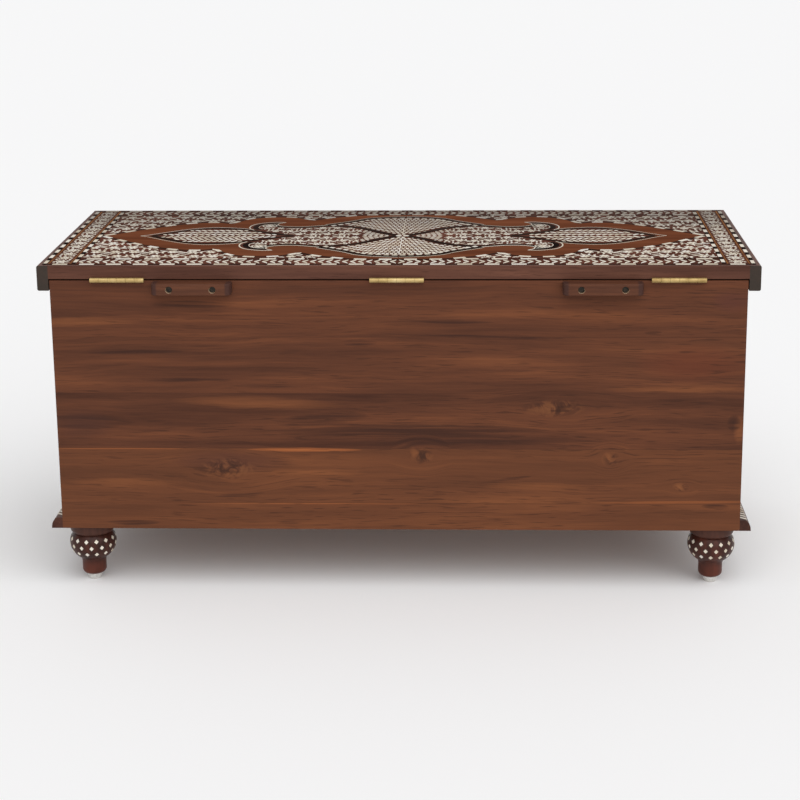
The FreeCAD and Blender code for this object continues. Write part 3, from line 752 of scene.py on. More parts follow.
def back_wood():
    """The boards of the back: grain runs across, each board starts its own figure, dark streaks,
    stains and knots lie where they are on the real ones, and painted highlights run along seams."""
    material, place = start_finish("back_boards")
    x, y, z = place.parts()
    course = (z - BOARD_FOOT) / BOARD_WIDTH
    board = course.floor()
    low_boards = 1.0 - board.above(0.5)
    third_board = 1.0 - (board - 1.0).size().above(0.5)
    bulge = round_knots(x, z)
    drift = place.point(x * 3.0, board * 3.7, z * 9.0).noise(1.0, 3.0) - 0.5
    shifted = place.point(x + board * 1.37, y, bulge + drift * 0.026 + board * 0.61)
    figure = shifted.stretch(2.6, 30.0, 44.0).noise(1.0, 5.0, 0.54, 0.25)
    broad = shifted.stretch(1.7, 8.0, 12.0).noise(1.0, 2.0)
    fibre = shifted.stretch(10.0, 200.0, 330.0).noise(1.0, 3.0, 0.62)
    pores = shifted.stretch(26.0, 400.0, 520.0).noise(1.0, 1.0)
    lines = shifted.stretch(4.0, 90.0, 210.0).noise(1.0, 3.0).between(0.34, 0.60)
    ragged = shifted.stretch(14.0, 60.0, 210.0).noise(1.0, 3.0, 0.6) - 0.5
    whorl = place.point(x, y, bulge).stretch(46.0, 40.0, 150.0).noise(1.0, 4.0, 0.6, 1.4)

    level, crisp = z + drift * 0.006 + ragged * 0.008, z + ragged * 0.0016
    dark = most_of(spot(x, level, *streak) for streak in DARK_STREAKS)
    warm = most_of(spot(x, level, *patch) for patch in WARM_PATCHES)
    # painted highlights along the seams between boards
    light = most_of(spot(x, crisp, *streak) ** 0.5 * strength for *streak, strength in SEAM_HIGHLIGHTS)
    eye = most_of(spot(x, z, *knot) for knot in KNOTS)
    seam = (course - board - 0.5).size().between(0.488, 0.497)
    ticks = pores.between(0.58, 0.70) * broad.between(0.35, 0.6) * 0.55

    blend = figure * 0.46 + fibre * 0.20 + broad * 0.34 + low_boards * 0.030 - third_board * 0.036
    colour = blend.ramp(
        (0.34, tone(68, 41, 31)),
        (0.45, tone(88, 53, 38)),
        (0.54, tone(102, 61, 42)),
        (0.66, tone(126, 76, 49)),
    )
    colour = (low_boards * 0.22).mix(colour, tone(116, 72, 44))
    colour = (warm * (0.25 + 0.5 * fibre)).mix(colour, tone(138, 84, 52))
    colour = (dark ** 0.6 * lines * 0.75).mix(colour, tone(56, 36, 30))
    colour = (dark * 0.12).mix(colour, tone(62, 39, 32))
    # painted highlights along the seams between boards
    colour = light.mix(colour, tone(168, 98, 56))
    for oval, strength, stain in STAINS:
        colour = (spot(x, level, *oval) * strength).mix(colour, stain)
    colour = (eye * whorl.between(0.46, 0.62) * 0.85).mix(colour, tone(60, 39, 31))
    colour = (eye * whorl.between(0.52, 0.36) * 0.45).mix(colour, tone(140, 90, 56))
    colour = (seam * 0.40 * broad.between(0.3, 0.7)).mix(colour, tone(58, 36, 28))
    colour = ticks.mix(colour, tone(62, 39, 30))
    shine = 0.50 + 0.16 * (0.5 - fibre)
    relief = fibre * 0.6 - ticks - seam
    return end_finish(material, place, colour, shine, relief, 0.0002, Specular_IOR_Level=0.08)


def turned_wood():
    """Dark lacquered feet: red-brown on the stem, duller on the collar, with faint rings left by
    the turning."""
    material, place = start_finish("turned_feet")
    z = place.parts()[2]
    cloud = place.noise(28.0, 3.0, 0.6)
    fibre = place.stretch(160.0, 160.0, 12.0).noise(1.0, 3.0, 0.6)
    stem = 1.0 - z.between(0.022, 0.038)
    collar = z.between(0.0735, 0.0750)
    rings = (z * 2600.0 + cloud * 3.0).wave() * 0.5 + 0.5
    colour = (cloud * 0.5 + fibre * 0.5).ramp(
        (0.34, tone(46, 27, 22)), (0.52, tone(66, 37, 30)), (0.68, tone(92, 49, 38))
    )
    colour = (stem * (0.20 + 0.4 * cloud)).mix(colour, tone(112, 57, 42))
    colour = (collar * (0.25 + 0.6 * fibre)).mix(colour, tone(84, 54, 44))
    relief = rings * 0.35 + fibre * 0.4
    shine = 0.30 + 0.15 * cloud
    return end_finish(
        material, place, colour, shine, relief, 0.00012,
        Specular_IOR_Level=0.10, Coat_Weight=0.12, Coat_Roughness=0.16,
    )


# Inlay finishes: the height where the lid's top begins and the stretch over which painted shade darkens
# it towards the front, in metres

LID_TOP_FROM = 0.478
SHADE_FROM, SHADE_TO = 0.05, -0.20


def painted_front_shade(place):
    """Painted shade on the lid's top: none along the hinges, and darker towards the front."""
    y, z = place.parts()[1:]
    return z.above(LID_TOP_FROM) * y.between(SHADE_FROM, SHADE_TO)


def bone():
    """Camel bone: cream to cool grey from chip to chip, with fine darker pores."""
    material, place = start_finish("inlay_bone")
    tint = place.node("ShaderNodeAttribute", {"attribute_name": "tint"}, out="Fac")
    cloud = place.noise(70.0, 3.0, 0.6)
    pores = place.stretch(900.0, 900.0, 900.0).noise(1.0, 1.0)
    colour = (tint * 0.65 + cloud * 0.35).ramp(
        (0.05, tone(198, 184, 162)),
        (0.35, tone(220, 210, 192)),
        (0.65, tone(234, 227, 213)),
        (0.95, tone(220, 216, 210)),
    )
    colour = (pores.between(0.62, 0.74) * 0.30).mix(colour, tone(150, 132, 110))
    # painted shade: the bone turns darker and greyer towards the front of the lid's top
    colour = (painted_front_shade(place) * 0.70).mix(colour, tone(122, 115, 108))
    shine = 0.42 + 0.16 * cloud
    return end_finish(material, place, colour, shine, pores * -0.4, 0.00008, Specular_IOR_Level=0.0)


def ground(name, dark, middling, warm):
    """The filler that the chips are set in: dark, with warmer clouds where wood shows through."""
    material, place = start_finish(name)
    cloud = place.noise(16.0, 3.0, 0.55)
    fine = place.noise(420.0, 2.0, 0.6)
    colour = (cloud * 0.72 + fine * 0.28).ramp((0.30, dark), (0.50, middling), (0.72, warm))
    # painted shade: the filler turns darker towards the front of the lid's top
    colour = (painted_front_shade(place) * 0.5).mix(colour, tone(66, 55, 51))
    shine = 0.52 + 0.16 * fine
    return end_finish(material, place, colour, shine, fine, 0.00010, Specular_IOR_Level=0.0)


def gold_line():
    """Stringing of yellow wood: warm, with short darker flecks along it."""
    material, place = start_finish("gold_stringing")
    fleck = place.noise(500.0, 2.0, 0.6)
    colour = (place.noise(60.0, 2.0) * 0.5 + fleck * 0.5).ramp(
        (0.32, tone(112, 70, 38)), (0.52, tone(146, 98, 54)), (0.70, tone(172, 124, 74))
    )
    return end_finish(material, place, colour, 0.44 + 0.1 * fleck, fleck, 0.00005, Specular_IOR_Level=0.0)


# Metal and plastic

def brass():
    """Worn brass: bright where rubbed, browner in soft patches, with fine drawn lines."""
    material, place = start_finish("hinge_brass")
    patch = place.noise(45.0, 3.0, 0.6)
    drawn = place.stretch(60.0, 1400.0, 1400.0).noise(1.0, 2.0)
    colour = (patch * 0.7 + drawn * 0.3).ramp(
        (0.32, tone(142, 114, 66)), (0.52, tone(186, 160, 106)), (0.70, tone(208, 186, 134))
    )
    shine = 0.38 + 0.22 * (1.0 - patch)
    return end_finish(material, place, colour, shine, drawn, 0.00005, Metallic=0.75)


def screw_metal(name, dark, light, metallic):
    """Screws: dull, with darker dirt in soft patches."""
    material, place = start_finish(name)
    patch = place.noise(260.0, 3.0, 0.6)
    colour = patch.ramp((0.35, dark), (0.65, light))
    shine = 0.36 + 0.24 * patch
    return end_finish(material, place, colour, shine, patch, 0.00008, Metallic=metallic)


def glide_plastic():
    """Pale glides under the feet, scuffed near the floor."""
    material, place = start_finish("foot_glides")
    z = place.parts()[2]
    scuff = place.noise(220.0, 3.0, 0.62)
    low = (1.0 - z.between(0.0005, 0.0050)) * scuff.between(0.42, 0.66)
    colour = scuff.ramp((0.35, tone(196, 193, 188)), (0.65, tone(226, 224, 220)))
    colour = (low * 0.6).mix(colour, tone(150, 144, 138))
    return end_finish(material, place, colour, 0.42 + 0.2 * scuff, scuff, 0.0001, Specular_IOR_Level=0.3)


BACK = back_wood()
RAIL = plain_wood("lid_rail_wood", "x", ((68, 43, 35), (92, 60, 49), (112, 74, 59)), 0.46, 0.05)
LIP = plain_wood(
    "lid_lip_wood", "y", ((58, 37, 31), (82, 53, 44), (104, 68, 55)), 0.46, 0.05, marks=lip_ends
)
BLOCK = plain_wood(
    "stop_block_wood", "x", ((62, 38, 29), (86, 53, 39), (110, 68, 48)), 0.48, 0.1, 0.004, block_shade_and_highlight
)
PLINTH = plain_wood("plinth_wood", "x", ((60, 37, 30), (84, 51, 39), (106, 66, 48)), 0.44, 0.1, 0.006)
PLINTH_END = plain_wood(
    "plinth_side_wood", "y", ((50, 32, 28), (69, 43, 36), (90, 56, 45)), 0.44, 0.1, 0.006
)
CARCASS = plain_wood("carcass_wood", "x", ((96, 62, 42), (124, 84, 58), (148, 104, 74)), 0.56, 0.2)
CARCASS_SIDE = plain_wood(
    "carcass_side_wood", "y", ((94, 61, 42), (121, 82, 57), (145, 102, 73)), 0.56, 0.2
)
CARTOUCHE = plain_wood(
    "cartouche_wood", "x", ((88, 50, 35), (110, 64, 43), (128, 78, 54)), 0.50, 0.0, 0.006
)
FOOT = turned_wood()
BONE = bone()
GROUND = ground("inlay_ground", tone(70, 43, 36), tone(94, 58, 48), tone(118, 72, 58))
LAC = ground("dark_lac", tone(26, 20, 19), tone(34, 26, 24), tone(46, 34, 30))
OUTLINE = ground("outline_lac", tone(44, 28, 24), tone(58, 38, 32), tone(74, 47, 38))
RIM = ground("rim_lac", tone(34, 25, 22), tone(46, 34, 29), tone(60, 44, 37))
GOLD = gold_line()
BRASS = brass()
STEEL = screw_metal("dark_screws", tone(20, 17, 13), tone(52, 45, 34), 0.5)
BRASS_SCREW = screw_metal("brass_screws", tone(120, 94, 54), tone(206, 178, 116), 0.85)
GLIDE = glide_plastic()

FINISH_OF = (
    ("back_board_", BACK),
    ("lid_back_rail", RAIL),
    ("lid_lip_front", RAIL),
    ("lid_lip_", LIP),
    ("lid_stop_block_", BLOCK),
    ("plinth_front", PLINTH),
    ("plinth_", PLINTH_END),
    ("front_inlay_facing", GROUND),
    ("left_inlay_facing", GROUND),
    ("right_inlay_facing", GROUND),
    ("lid_inlay_panel", GROUND),
    ("left_side_panel", CARCASS_SIDE),
    ("right_side_panel", CARCASS_SIDE),
    ("foot_block_", CARCASS),
    ("foot_glide_", GLIDE),
    ("foot_bolts", STEEL),
    ("foot_", FOOT),
    ("hinge_screws_", BRASS_SCREW),
    ("hinge_", BRASS),
    ("stop_block_screws", STEEL),
    ("", CARCASS),
)


def dress(node, part):
    """Gives a CAD part the finish of the first name that its own begins with."""
    finish = next(wear for start, wear in FINISH_OF if node.startswith(start))
    if not part.material_slots:
        part.data.materials.append(finish)
    for place in part.material_slots:
        place.material = finish


for node_name, node_part in NODES.items():
    dress(node_name, node_part)


# Inlaid panels: heights over the face in millimetres, and the hair between sets of one layer

SUNK = -0.8
PLATE_TOP = 0.15
FILL_TOP = 0.25
RIM_TOP = 0.31
HORN_TOP = 0.34
STEM_TOP = 0.35
CHIP_TOP = 0.40
HAIR = 0.004


class Panel:
    """An inlaid face of the trunk: its plane, the start of its pieces' names, the body that it
    rides on, and half its width and height as the inlay is set out."""

    def __init__(self, face, name, body, half_x, half_y):
        self.face = face
        self.name = name
        self.body = body
        self.half_x = half_x
        self.half_y = half_y

    def lay(self, part, pairs, top, slot, finish, rise=0.0):
        """One piece of the panel, from pairs of edges. Top is one height or one for each pair,
        and each pair stands a rise over the one before."""
        tops = top + rise * np.arange(len(pairs))
        bars = [self.face.bars(pair, SUNK, height) for pair, height in zip(pairs, tops)]
        add_piece(f"{self.name}_{part}", bars, self.body, finish)


class Row(NamedTuple):
    """A border row: its middle's distance in from the edge of a panel, its width and, for a row
    of blocks, their pitch and the share of it that is bone."""

    inset: float
    wide: float
    pitch: float = 0.0
    share: float = 0.0

    def inside(self):
        """The distance of the row's inner side from the edge of the panel."""
        return self.inset + 0.5 * self.wide


# Borders, ends first. Rows stop short of each other, and lap the middle plate or stay clear of it

END_OUTER = Row(9.6, 5.2, 36.6, 0.52)
END_GOLD = Row(15.2, 1.2)
END_BAND = Row(30.2, 26.0)
END_GOLD_IN = Row(45.2, 1.2)
END_INNER = Row(50.4, 5.4, 36.6, 0.52)
SIDE_OUTER = Row(9.4, 7.0, 38.4, 0.55)
SIDE_BAND = Row(27.0, 25.0)
SIDE_INNER = Row(44.4, 7.0, 42.0, 0.55)
END_SHORT = 6.0
ROW_GAP = 0.6
BAND_GAP = 1.0
END_LAP, SIDE_CLEAR, PAIR_LAP = 2.5, 3.0, 9.0
FILLER_STEP = 6.0
GOLD_STEP = 60.0
STEM_WIDE = 1.6
STEM_ROOM = 0.8
FIELD_PITCH, FIELD_STEP = 30.0, 7.0


def block_rows(panel):
    """The rows of blocks round a panel, each as its middle line and its row: those at the ends
    and those along the sides."""
    x, y = panel.half_x, panel.half_y
    uprights = (END_OUTER, y - END_SHORT), (END_INNER, y - SIDE_OUTER.inside() - ROW_GAP)
    wide, narrow = (x - row.inside() - ROW_GAP for row in (END_OUTER, END_INNER))
    levels = (SIDE_OUTER, wide), (SIDE_INNER, narrow)
    ends, sides = [], []
    for sign in SIGNS:
        for row, reach in uprights:
            at = sign * (x - row.inset)
            ends.append((line(at, -reach, at, reach), row))
        for row, reach in levels:
            at = sign * (y - row.inset)
            sides.append((line(-reach, at, reach, at), row))
    return ends, sides


def borders(panel, loop):
    """The rows of blocks and gold lines round a panel. The blocks stand on strips of filler, and
    nothing is laid where the middle plate lies."""

    def clear(pair, gap):
        return only(pair, room_inside(middle(pair), loop) < -gap)

    ends, sides = block_rows(panel)
    blocks = []
    for part, rows, gap, finish in (("end", ends, -END_LAP, LAC), ("side", sides, SIDE_CLEAR, OUTLINE)):
        filler = [clear(bricks(path, 0.0, row.wide, FILLER_STEP, 1.0), gap) for path, row in rows]
        panel.lay(f"{part}_lac", filler, FILL_TOP, "lac", finish)
        blocks += [clear(bricks(path, 0.0, row.wide, row.pitch, row.share), gap) for path, row in rows]
    panel.lay("bone_blocks", blocks, CHIP_TOP, "bone", BONE)
    tall = panel.half_y - SIDE_OUTER.inside() - ROW_GAP
    gold = []
    for row in (END_GOLD, END_GOLD_IN):
        for x in (panel.half_x - row.inset, row.inset - panel.half_x):
            gold.append(ribbon(line(x, -tall, x, tall), 0.0, row.wide, GOLD_STEP))
    panel.lay("gold_lines", gold, FILL_TOP, "inlaid_wood", GOLD)


def field_leaves(panel, loop):
    """The leaves of a panel: creepers between the borders and the middle plate, scrolls in the
    bands at the ends and paired leaves in the bands along the sides."""
    in_x, in_y = panel.half_x - END_INNER.inside(), panel.half_y - SIDE_INNER.inside()

    def room(points):
        return np.minimum(room_in_box(points, 0.0, in_x, 0.0, in_y), -room_inside(points, loop))

    quarter, stem = creepers(in_x, in_y, FIELD_PITCH, FIELD_STEP, STEM_WIDE)
    quarter, stem = trimmed(quarter, stem, room, STEM_ROOM)
    tall = panel.half_y - SIDE_OUTER.inside() - BAND_GAP
    x, half = panel.half_x - END_BAND.inset, 0.5 * END_BAND.wide
    sprigs, end = scroll_row(x, tall, END_BAND.wide)
    end = fitted(end, room_in_box(end, x - half, x + half, -tall, tall))
    side = leaf_pairs(in_x - BAND_GAP, panel.half_y - SIDE_BAND.inset, SIDE_BAND.wide)
    side = fitted(side, PAIR_LAP - room_inside(side, loop))
    leaves = np.vstack([all_quarters(quarter), end, mirror_x(end), side, mirror_y(side)])
    curls = stems(*sprigs, STEM_WIDE)
    lines = quarters(stem) + [curls, flipped(curls, -1.0, 1.0)]
    tops = np.array([CHIP_TOP] + [STEM_TOP] * len(lines))
    panel.lay("scroll_leaves", [leaf_edges(leaves)] + lines, tops, "bone", BONE)


# The cartouche of the lid and the front, one quarter in millimetres from its middle

CARTOUCHE_ARCS = (
    ((460, 0), (428, 30), (400, 56), (372, 79), (345, 96), (319, 106), (291, 108), (271, 101)),
    ((271, 101), (257, 126), (238, 144), (207, 153), (169, 147), (144, 127)),
    ((144, 127), (119, 146), (82, 163), (57, 169), (0, 170)),
)
ALMOND_ARC = (
    (379, 0), (345, 30), (318, 49), (290, 57.5), (257, 52), (232, 41), (207, 23.5), (182, 9), (163, 0)
)
ALMOND_LINE = ((396, 0), (382, 9), (349, 37), (320, 56), (290, 64.5), (255, 59), (232, 48.5))
FAN_FOOT = ((8, 2), (32, 23), (70, 62), (119, 82))
FAN_HEAD = ((119, 82), (80, 110), (57, 132), (25, 143), (0, 146))
FIELD_HEAD = ((119, 82), (157, 70), (185, 73), (196, 83), (195, 95), (186, 104))
HORN_OUTSIDE = ((186, 104), (200, 106), (216, 101), (229, 92), (237, 76), (237, 57), (229, 43))
HORN_INSIDE = ((229, 43), (207, 23), (182, 9), (163, 0))
HORN_FLOWER = (208, 76)


class Outlines:
    """The lines of a cartouche at its scale, each for one quarter and a smooth chain of arcs, and
    the loops that they close with their mirror images."""

    def __init__(self, scale_x, scale_y):
        self.scale = np.array([scale_x, scale_y])
        self.quarter = self.scaled(*CARTOUCHE_ARCS)
        self.almond = self.scaled(ALMOND_ARC)
        self.foot = self.scaled(FAN_FOOT)
        self.fan_head = self.scaled(FAN_HEAD)
        self.head = self.scaled(FIELD_HEAD)
        self.horn = self.scaled(HORN_OUTSIDE)
        self.far_side = np.vstack([self.horn, self.scaled(HORN_INSIDE)[1:]])
        self.fan = np.vstack([self.foot, self.fan_head[1:]])
        self.upper = np.vstack([self.foot, self.head[1:]])
        self.plate_loop = four_fold(self.quarter)
        self.almond_loop = two_fold(self.almond)
        self.fan_loop = np.vstack([self.fan, (self.fan * (-1.0, 1.0))[::-1][1:], self.fan[:1]])
        self.field_loop = two_fold(np.vstack([self.upper, self.far_side[1:]])[::-1])
        self.flower = np.array(HORN_FLOWER, float) * self.scale

    def scaled(self, *arcs):
        """Arcs of the unscaled cartouche as one line at this scale."""
        return chain(*[np.array(arc, float) * self.scale for arc in arcs])


def cartouche_plates(panel, shape):
    """The lobed plate of plain wood, and on it the fills of almonds, fans and horned fields."""
    right = shape.quarter[::-1][None], (shape.quarter * (1.0, -1.0))[::-1][None]
    plates = [right, flipped(right, -1.0, 1.0)]
    panel.lay("cartouche_plate", plates, PLATE_TOP, "inlaid_wood", CARTOUCHE, HAIR)
    rib = shape.almond[::-1][None]
    almond = rib, rib * (1.0, -1.0)
    fan = shape.fan[None] * (-1.0, 1.0), shape.fan[None]
    axis = line(FAN_FOOT[0][0] * shape.scale[0], 0.0, HORN_INSIDE[-1][0] * shape.scale[0], 0.0)
    fills = [almond, flipped(almond, -1.0, 1.0), fan, flipped(fan, 1.0, -1.0)]
    fills += quarters(half_plate(shape.upper, np.vstack([axis, shape.far_side[::-1][1:]])))
    panel.lay("field_fill", fills, FILL_TOP, "lac", GROUND, HAIR)


# Dark rims, the white lines beside them, and the blocks along the lobes and the fans' heads

OUTLINE_WIDE, FOOT_LINE_WIDE = 9.4, 11.0
OUTLINE_ROOM = 0.5 * OUTLINE_WIDE + 0.6
HEAD_RIM_OFF, HEAD_RIM_SHORT = 5.0, 6
HORN_BLACK, HORN_BLACK_WIDE, HORN_BLACK_FROM = 9.0, 8.0, 3
HORN_LINE_GAP, HORN_LINE_FROM = 1.2, 6
ALMOND_LINE_WIDE, FAN_LINE_WIDE, HORN_LINE_WIDE, HEAD_LINE_WIDE = 1.0, 1.1, 1.9, 1.5
RIM_LINE_OFF = OUTLINE_ROOM + 1.0
LOBE_WIDE = 7.0
LOBE_BLOCKS = (0.5 * LOBE_WIDE, LOBE_WIDE, 35.0, 0.5, 4)
HEAD_BLOCKS = (7.8, 5.6, 12.6, 0.62)


def cartouche_rims(panel, shape):
    """Dark rims round the fields and lobes, black horns, and the white lines and blocks beside
    them."""
    rims = [ribbon(path, 0.0, OUTLINE_WIDE) for path in (shape.almond, shape.fan_head)]
    rims.append(ribbon(shape.foot, 0.0, FOOT_LINE_WIDE))
    rims.append(ribbon(shape.head[:-HEAD_RIM_SHORT], -HEAD_RIM_OFF, OUTLINE_WIDE))
    panel.lay("outlines", quarters(*rims), RIM_TOP, "lac", RIM, HAIR)
    crescent = ribbon(shape.horn[HORN_BLACK_FROM:], -HORN_BLACK, HORN_BLACK_WIDE)
    panel.lay("horn_lac", quarters(crescent), HORN_TOP, "lac", LAC, HAIR)
    lobes = ribbon(shape.quarter, 0.5 * LOBE_WIDE, LOBE_WIDE)
    panel.lay("lobe_lac", quarters(lobes), RIM_TOP, "lac", OUTLINE, HAIR)
    horn_line_off = HORN_BLACK + 0.5 * HORN_BLACK_WIDE + HORN_LINE_GAP
    pale = (
        ribbon(shape.scaled(ALMOND_LINE), 0.0, ALMOND_LINE_WIDE),
        ribbon(shape.fan_head, -RIM_LINE_OFF, FAN_LINE_WIDE),
        ribbon(shape.horn, 0.0, HORN_LINE_WIDE),
        ribbon(shape.head, 0.0, HEAD_LINE_WIDE),
        ribbon(shape.horn[HORN_LINE_FROM:], -horn_line_off, ALMOND_LINE_WIDE),
        bricks(shape.quarter, *LOBE_BLOCKS),
    )
    panel.lay("white_lines", quarters(*pale), CHIP_TOP, "bone", BONE, HAIR)


# Creepers of the fields: pitch, step, stem, room, reach in pitches, and what they keep clear of

INNER_PITCH, INNER_STEP, VINE_WIDE, VINE_ROOM = 24.0, 5.4, 1.4, 0.6
INNER_ACROSS, INNER_UP = 10.5, 4.0
FLOWER_CLEAR, HORN_CLEAR, HEAD_CLEAR, BARBS_TO = 13.0, 15.0, 10.2, 62.0

# The flower in a horn: its radius, and the ring of chips round it

HORN_FLOWER_RADIUS = 7.0
HORN_RING = (10.4, 0.0, 5.4, 2.7, 4.3)

# Barbs: first place, step and slip of a row across, first place and rise of the rows, and their shape

BARBS_ACROSS, BARBS_UP = 10, 9
BARB_START, BARB_STEP, BARB_SLIP, BARB_FOOT, BARB_RISE = 16.0, 8.2, 6.8, 3.4, 5.8
BARB_LEAN, BARB_LONG, BARB_WIDE = 0.70, 7.6, 2.9

# Vanes of the almonds, in the same way, with how far they lap the rim and the least that is laid

VANES_ACROSS, VANES_UP = 28, 4
VANE_START, VANE_STEP, VANE_FOOT, VANE_RISE = 158.0, 9.2, 7.9, 15.2
VANE_LEAN, VANE_LONG, VANE_WIDE, VANE_BOW = 0.86, 12.6, 5.1, 0.5
VANE_LAP, VANE_LEAST = 2.4, 4.6

# Fans: rings and their chips, the clear edge at the head, the heart's two chips and the spine

FAN_RINGS, ROSETTE_RINGS = 13, 8
FAN_CHIPS = (13.0, 11.6, 6.2, 7.8, 4.5)
FAN_EDGE, FAN_LEAST = 11.4, 3.2
HEART_OUT, HEART_LONG, HEART_WIDE = 5.4, 8.6, 8.0
SPINE_FROM, SPINE_TO, SPINE_WIDE, SPINE_STEP = 7.0, 134.0, 1.3, 20.0


def inner_creepers(shape):
    """The creepers of one horned field, as leaves and stems, with the flower in the horn."""

    def room(points):
        return np.min((
            room_inside(points, shape.field_loop) - OUTLINE_ROOM,
            np.hypot(*(points - shape.flower).T) - FLOWER_CLEAR,
            gap_to(points, shape.horn) - HORN_CLEAR,
            gap_to(points, shape.head) - HEAD_CLEAR,
            points[:, 0] - BARBS_TO * shape.scale[0],
        ), axis=0)

    across, up = INNER_ACROSS * INNER_PITCH, INNER_UP * INNER_PITCH
    leaves, vine = creepers(across, up, INNER_PITCH, INNER_STEP, VINE_WIDE)
    leaves, vine = trimmed(leaves, vine, room, VINE_ROOM)
    posies = flowers(shape.flower[:1], shape.flower[1:], np.full(1, HORN_FLOWER_RADIUS), 6)
    return np.vstack([leaves, posies]), vine


def barb_chips(shape):
    """Slanted barbs in the foot of a field: rows at an even rise, each slipped along evenly."""
    i, j = grid(BARBS_ACROSS, BARBS_UP)
    x, y = BARB_START + BARB_STEP * i + BARB_SLIP * j, BARB_FOOT + BARB_RISE * j
    barbs = leaf_rows(x, y, BARB_LEAN, BARB_LONG, BARB_WIDE, 0.0)
    room = room_inside(barbs, shape.field_loop) - OUTLINE_ROOM
    return fitted(barbs, np.minimum(room, BARBS_TO * shape.scale[0] - x), margin=0.0)


def vane_chips(shape):
    """Vanes in an almond: rows at an even rise that lean by turns each way, every other one
    moved on by half a step."""
    scale_x, scale_y = shape.scale
    i, j = grid(VANES_ACROSS, VANES_UP)
    odd = j % 2
    x, y = (VANE_START + VANE_STEP * (i + 0.5 * odd)) * scale_x, (VANE_FOOT + VANE_RISE * j) * scale_y
    lean = VANE_LEAN * (1.0 - 2.0 * odd) * scale_y**0.5
    vanes = leaf_rows(x, y, lean, VANE_LONG * scale_y, VANE_WIDE, VANE_BOW)
    room = room_inside(vanes, shape.almond_loop) - OUTLINE_ROOM + VANE_LAP
    return fitted(vanes, room, VANE_LEAST, 0.0)


def fan_chips(shape):
    """Chips on rings in a fan, cut to its outline and clear of the blocks along its head."""
    scale_x, scale_y = shape.scale
    fans = ring_chips(FAN_RINGS, *FAN_CHIPS) * (scale_x, scale_y, 1.0, scale_y, 1.0, 1.0)
    room = np.minimum(room_inside(fans, shape.fan_loop) - OUTLINE_ROOM, fans[:, 1])
    return fitted(fans, np.minimum(room, gap_to(fans, shape.fan_head) - FAN_EDGE), FAN_LEAST, 0.0)


def field_chips(panel, shape):
    """All the bone chips within a cartouche: creepers, barbs, vanes, fans with their blocks and
    spines, rings about the horns' flowers and two chips at the heart."""
    leaves, vine = inner_creepers(shape)
    ring = ring_chips(1, *HORN_RING)
    ring[:, :2] += shape.flower
    fans = fan_chips(shape)
    heart = leaf_rows(HEART_OUT * np.array(SIGNS), 0.0, 0.0, HEART_LONG, HEART_WIDE, 0.0)
    chips = all_quarters(np.vstack([vane_chips(shape), barb_chips(shape), ring]))
    chips = np.vstack([chips, fans, mirror_y(fans), heart])
    spine = ribbon(line(0.0, SPINE_FROM, 0.0, SPINE_TO * shape.scale[1]), 0.0, SPINE_WIDE, SPINE_STEP)
    pairs = [leaf_edges(all_quarters(leaves)), dash_edges(chips)]
    pairs += quarters(vine, bricks(shape.fan_head, *HEAD_BLOCKS))
    pairs += [spine, flipped(spine, 1.0, -1.0)]
    panel.lay("field_chips", pairs, CHIP_TOP, "bone", BONE, HAIR)


def cartouche(panel, scale_x, scale_y):
    """A panel with a lobed plate of plain wood in its middle, whose almonds, fans and horned
    fields are inlaid, and with borders and creepers round it."""
    shape = Outlines(scale_x, scale_y)
    cartouche_plates(panel, shape)
    cartouche_rims(panel, shape)
    borders(panel, shape.plate_loop)
    field_leaves(panel, shape.plate_loop)
    field_chips(panel, shape)


# Where the lid and the walls lie, with the inlay's lap above and below and its inset at the corners

FRONT_LOW, FRONT_HIGH = box_of("front_inlay_facing")
SIDE_LOW, SIDE_HIGH = box_of("left_inlay_facing")
LEDGE_HIGH = box_of("plinth_left")[1]
WALL_LAP, FRONT_INSET, SIDE_INSET = 0.5, 1.5, 0.75
LID_MIDDLE = 0.5 * (LIP_LOW[1] + LIP_HIGH[1])
LID_HALF_X, LID_HALF_Y = -LIP_LOW[0], 0.5 * (LIP_HIGH[1] - LIP_LOW[1])
WALL_MIDDLE = 0.5 * (LEDGE_HIGH[2] + LIP_LOW[2])
WALL_HALF_Y = 0.5 * (LIP_LOW[2] - LEDGE_HIGH[2]) + WALL_LAP
FRONT_HALF_X = FRONT_HIGH[0] - FRONT_INSET
SIDE_MIDDLE = 0.5 * (SIDE_LOW[1] + SIDE_HIGH[1])
SIDE_HALF_X = 0.5 * (SIDE_HIGH[1] - SIDE_LOW[1]) - SIDE_INSET
FRONT_SCALE = (0.955, 0.776)

LID_FACE = Face((0.0, LID_MIDDLE, LIP_HIGH[2]), (1, 0, 0), (0, 1, 0))
FRONT_FACE = Face((0.0, FRONT_LOW[1], WALL_MIDDLE), (1, 0, 0), (0, 0, 1))
cartouche(Panel(LID_FACE, "lid", "lid", LID_HALF_X, LID_HALF_Y), 1.0, 1.0)
cartouche(Panel(FRONT_FACE, "front", "chest", FRONT_HALF_X, WALL_HALF_Y), *FRONT_SCALE)


# The sides: round plate, its lobes, its core's share of its radius, and the hole's share of a disc

ROSETTE_RADIUS, LOBE_SHARE, LOBE_ROUND = 96.0, 0.14, 0.7
CORE_SHARE, HUB_SHARE = 0.66, 0.04
CORE_LINE_WIDE = 1.2


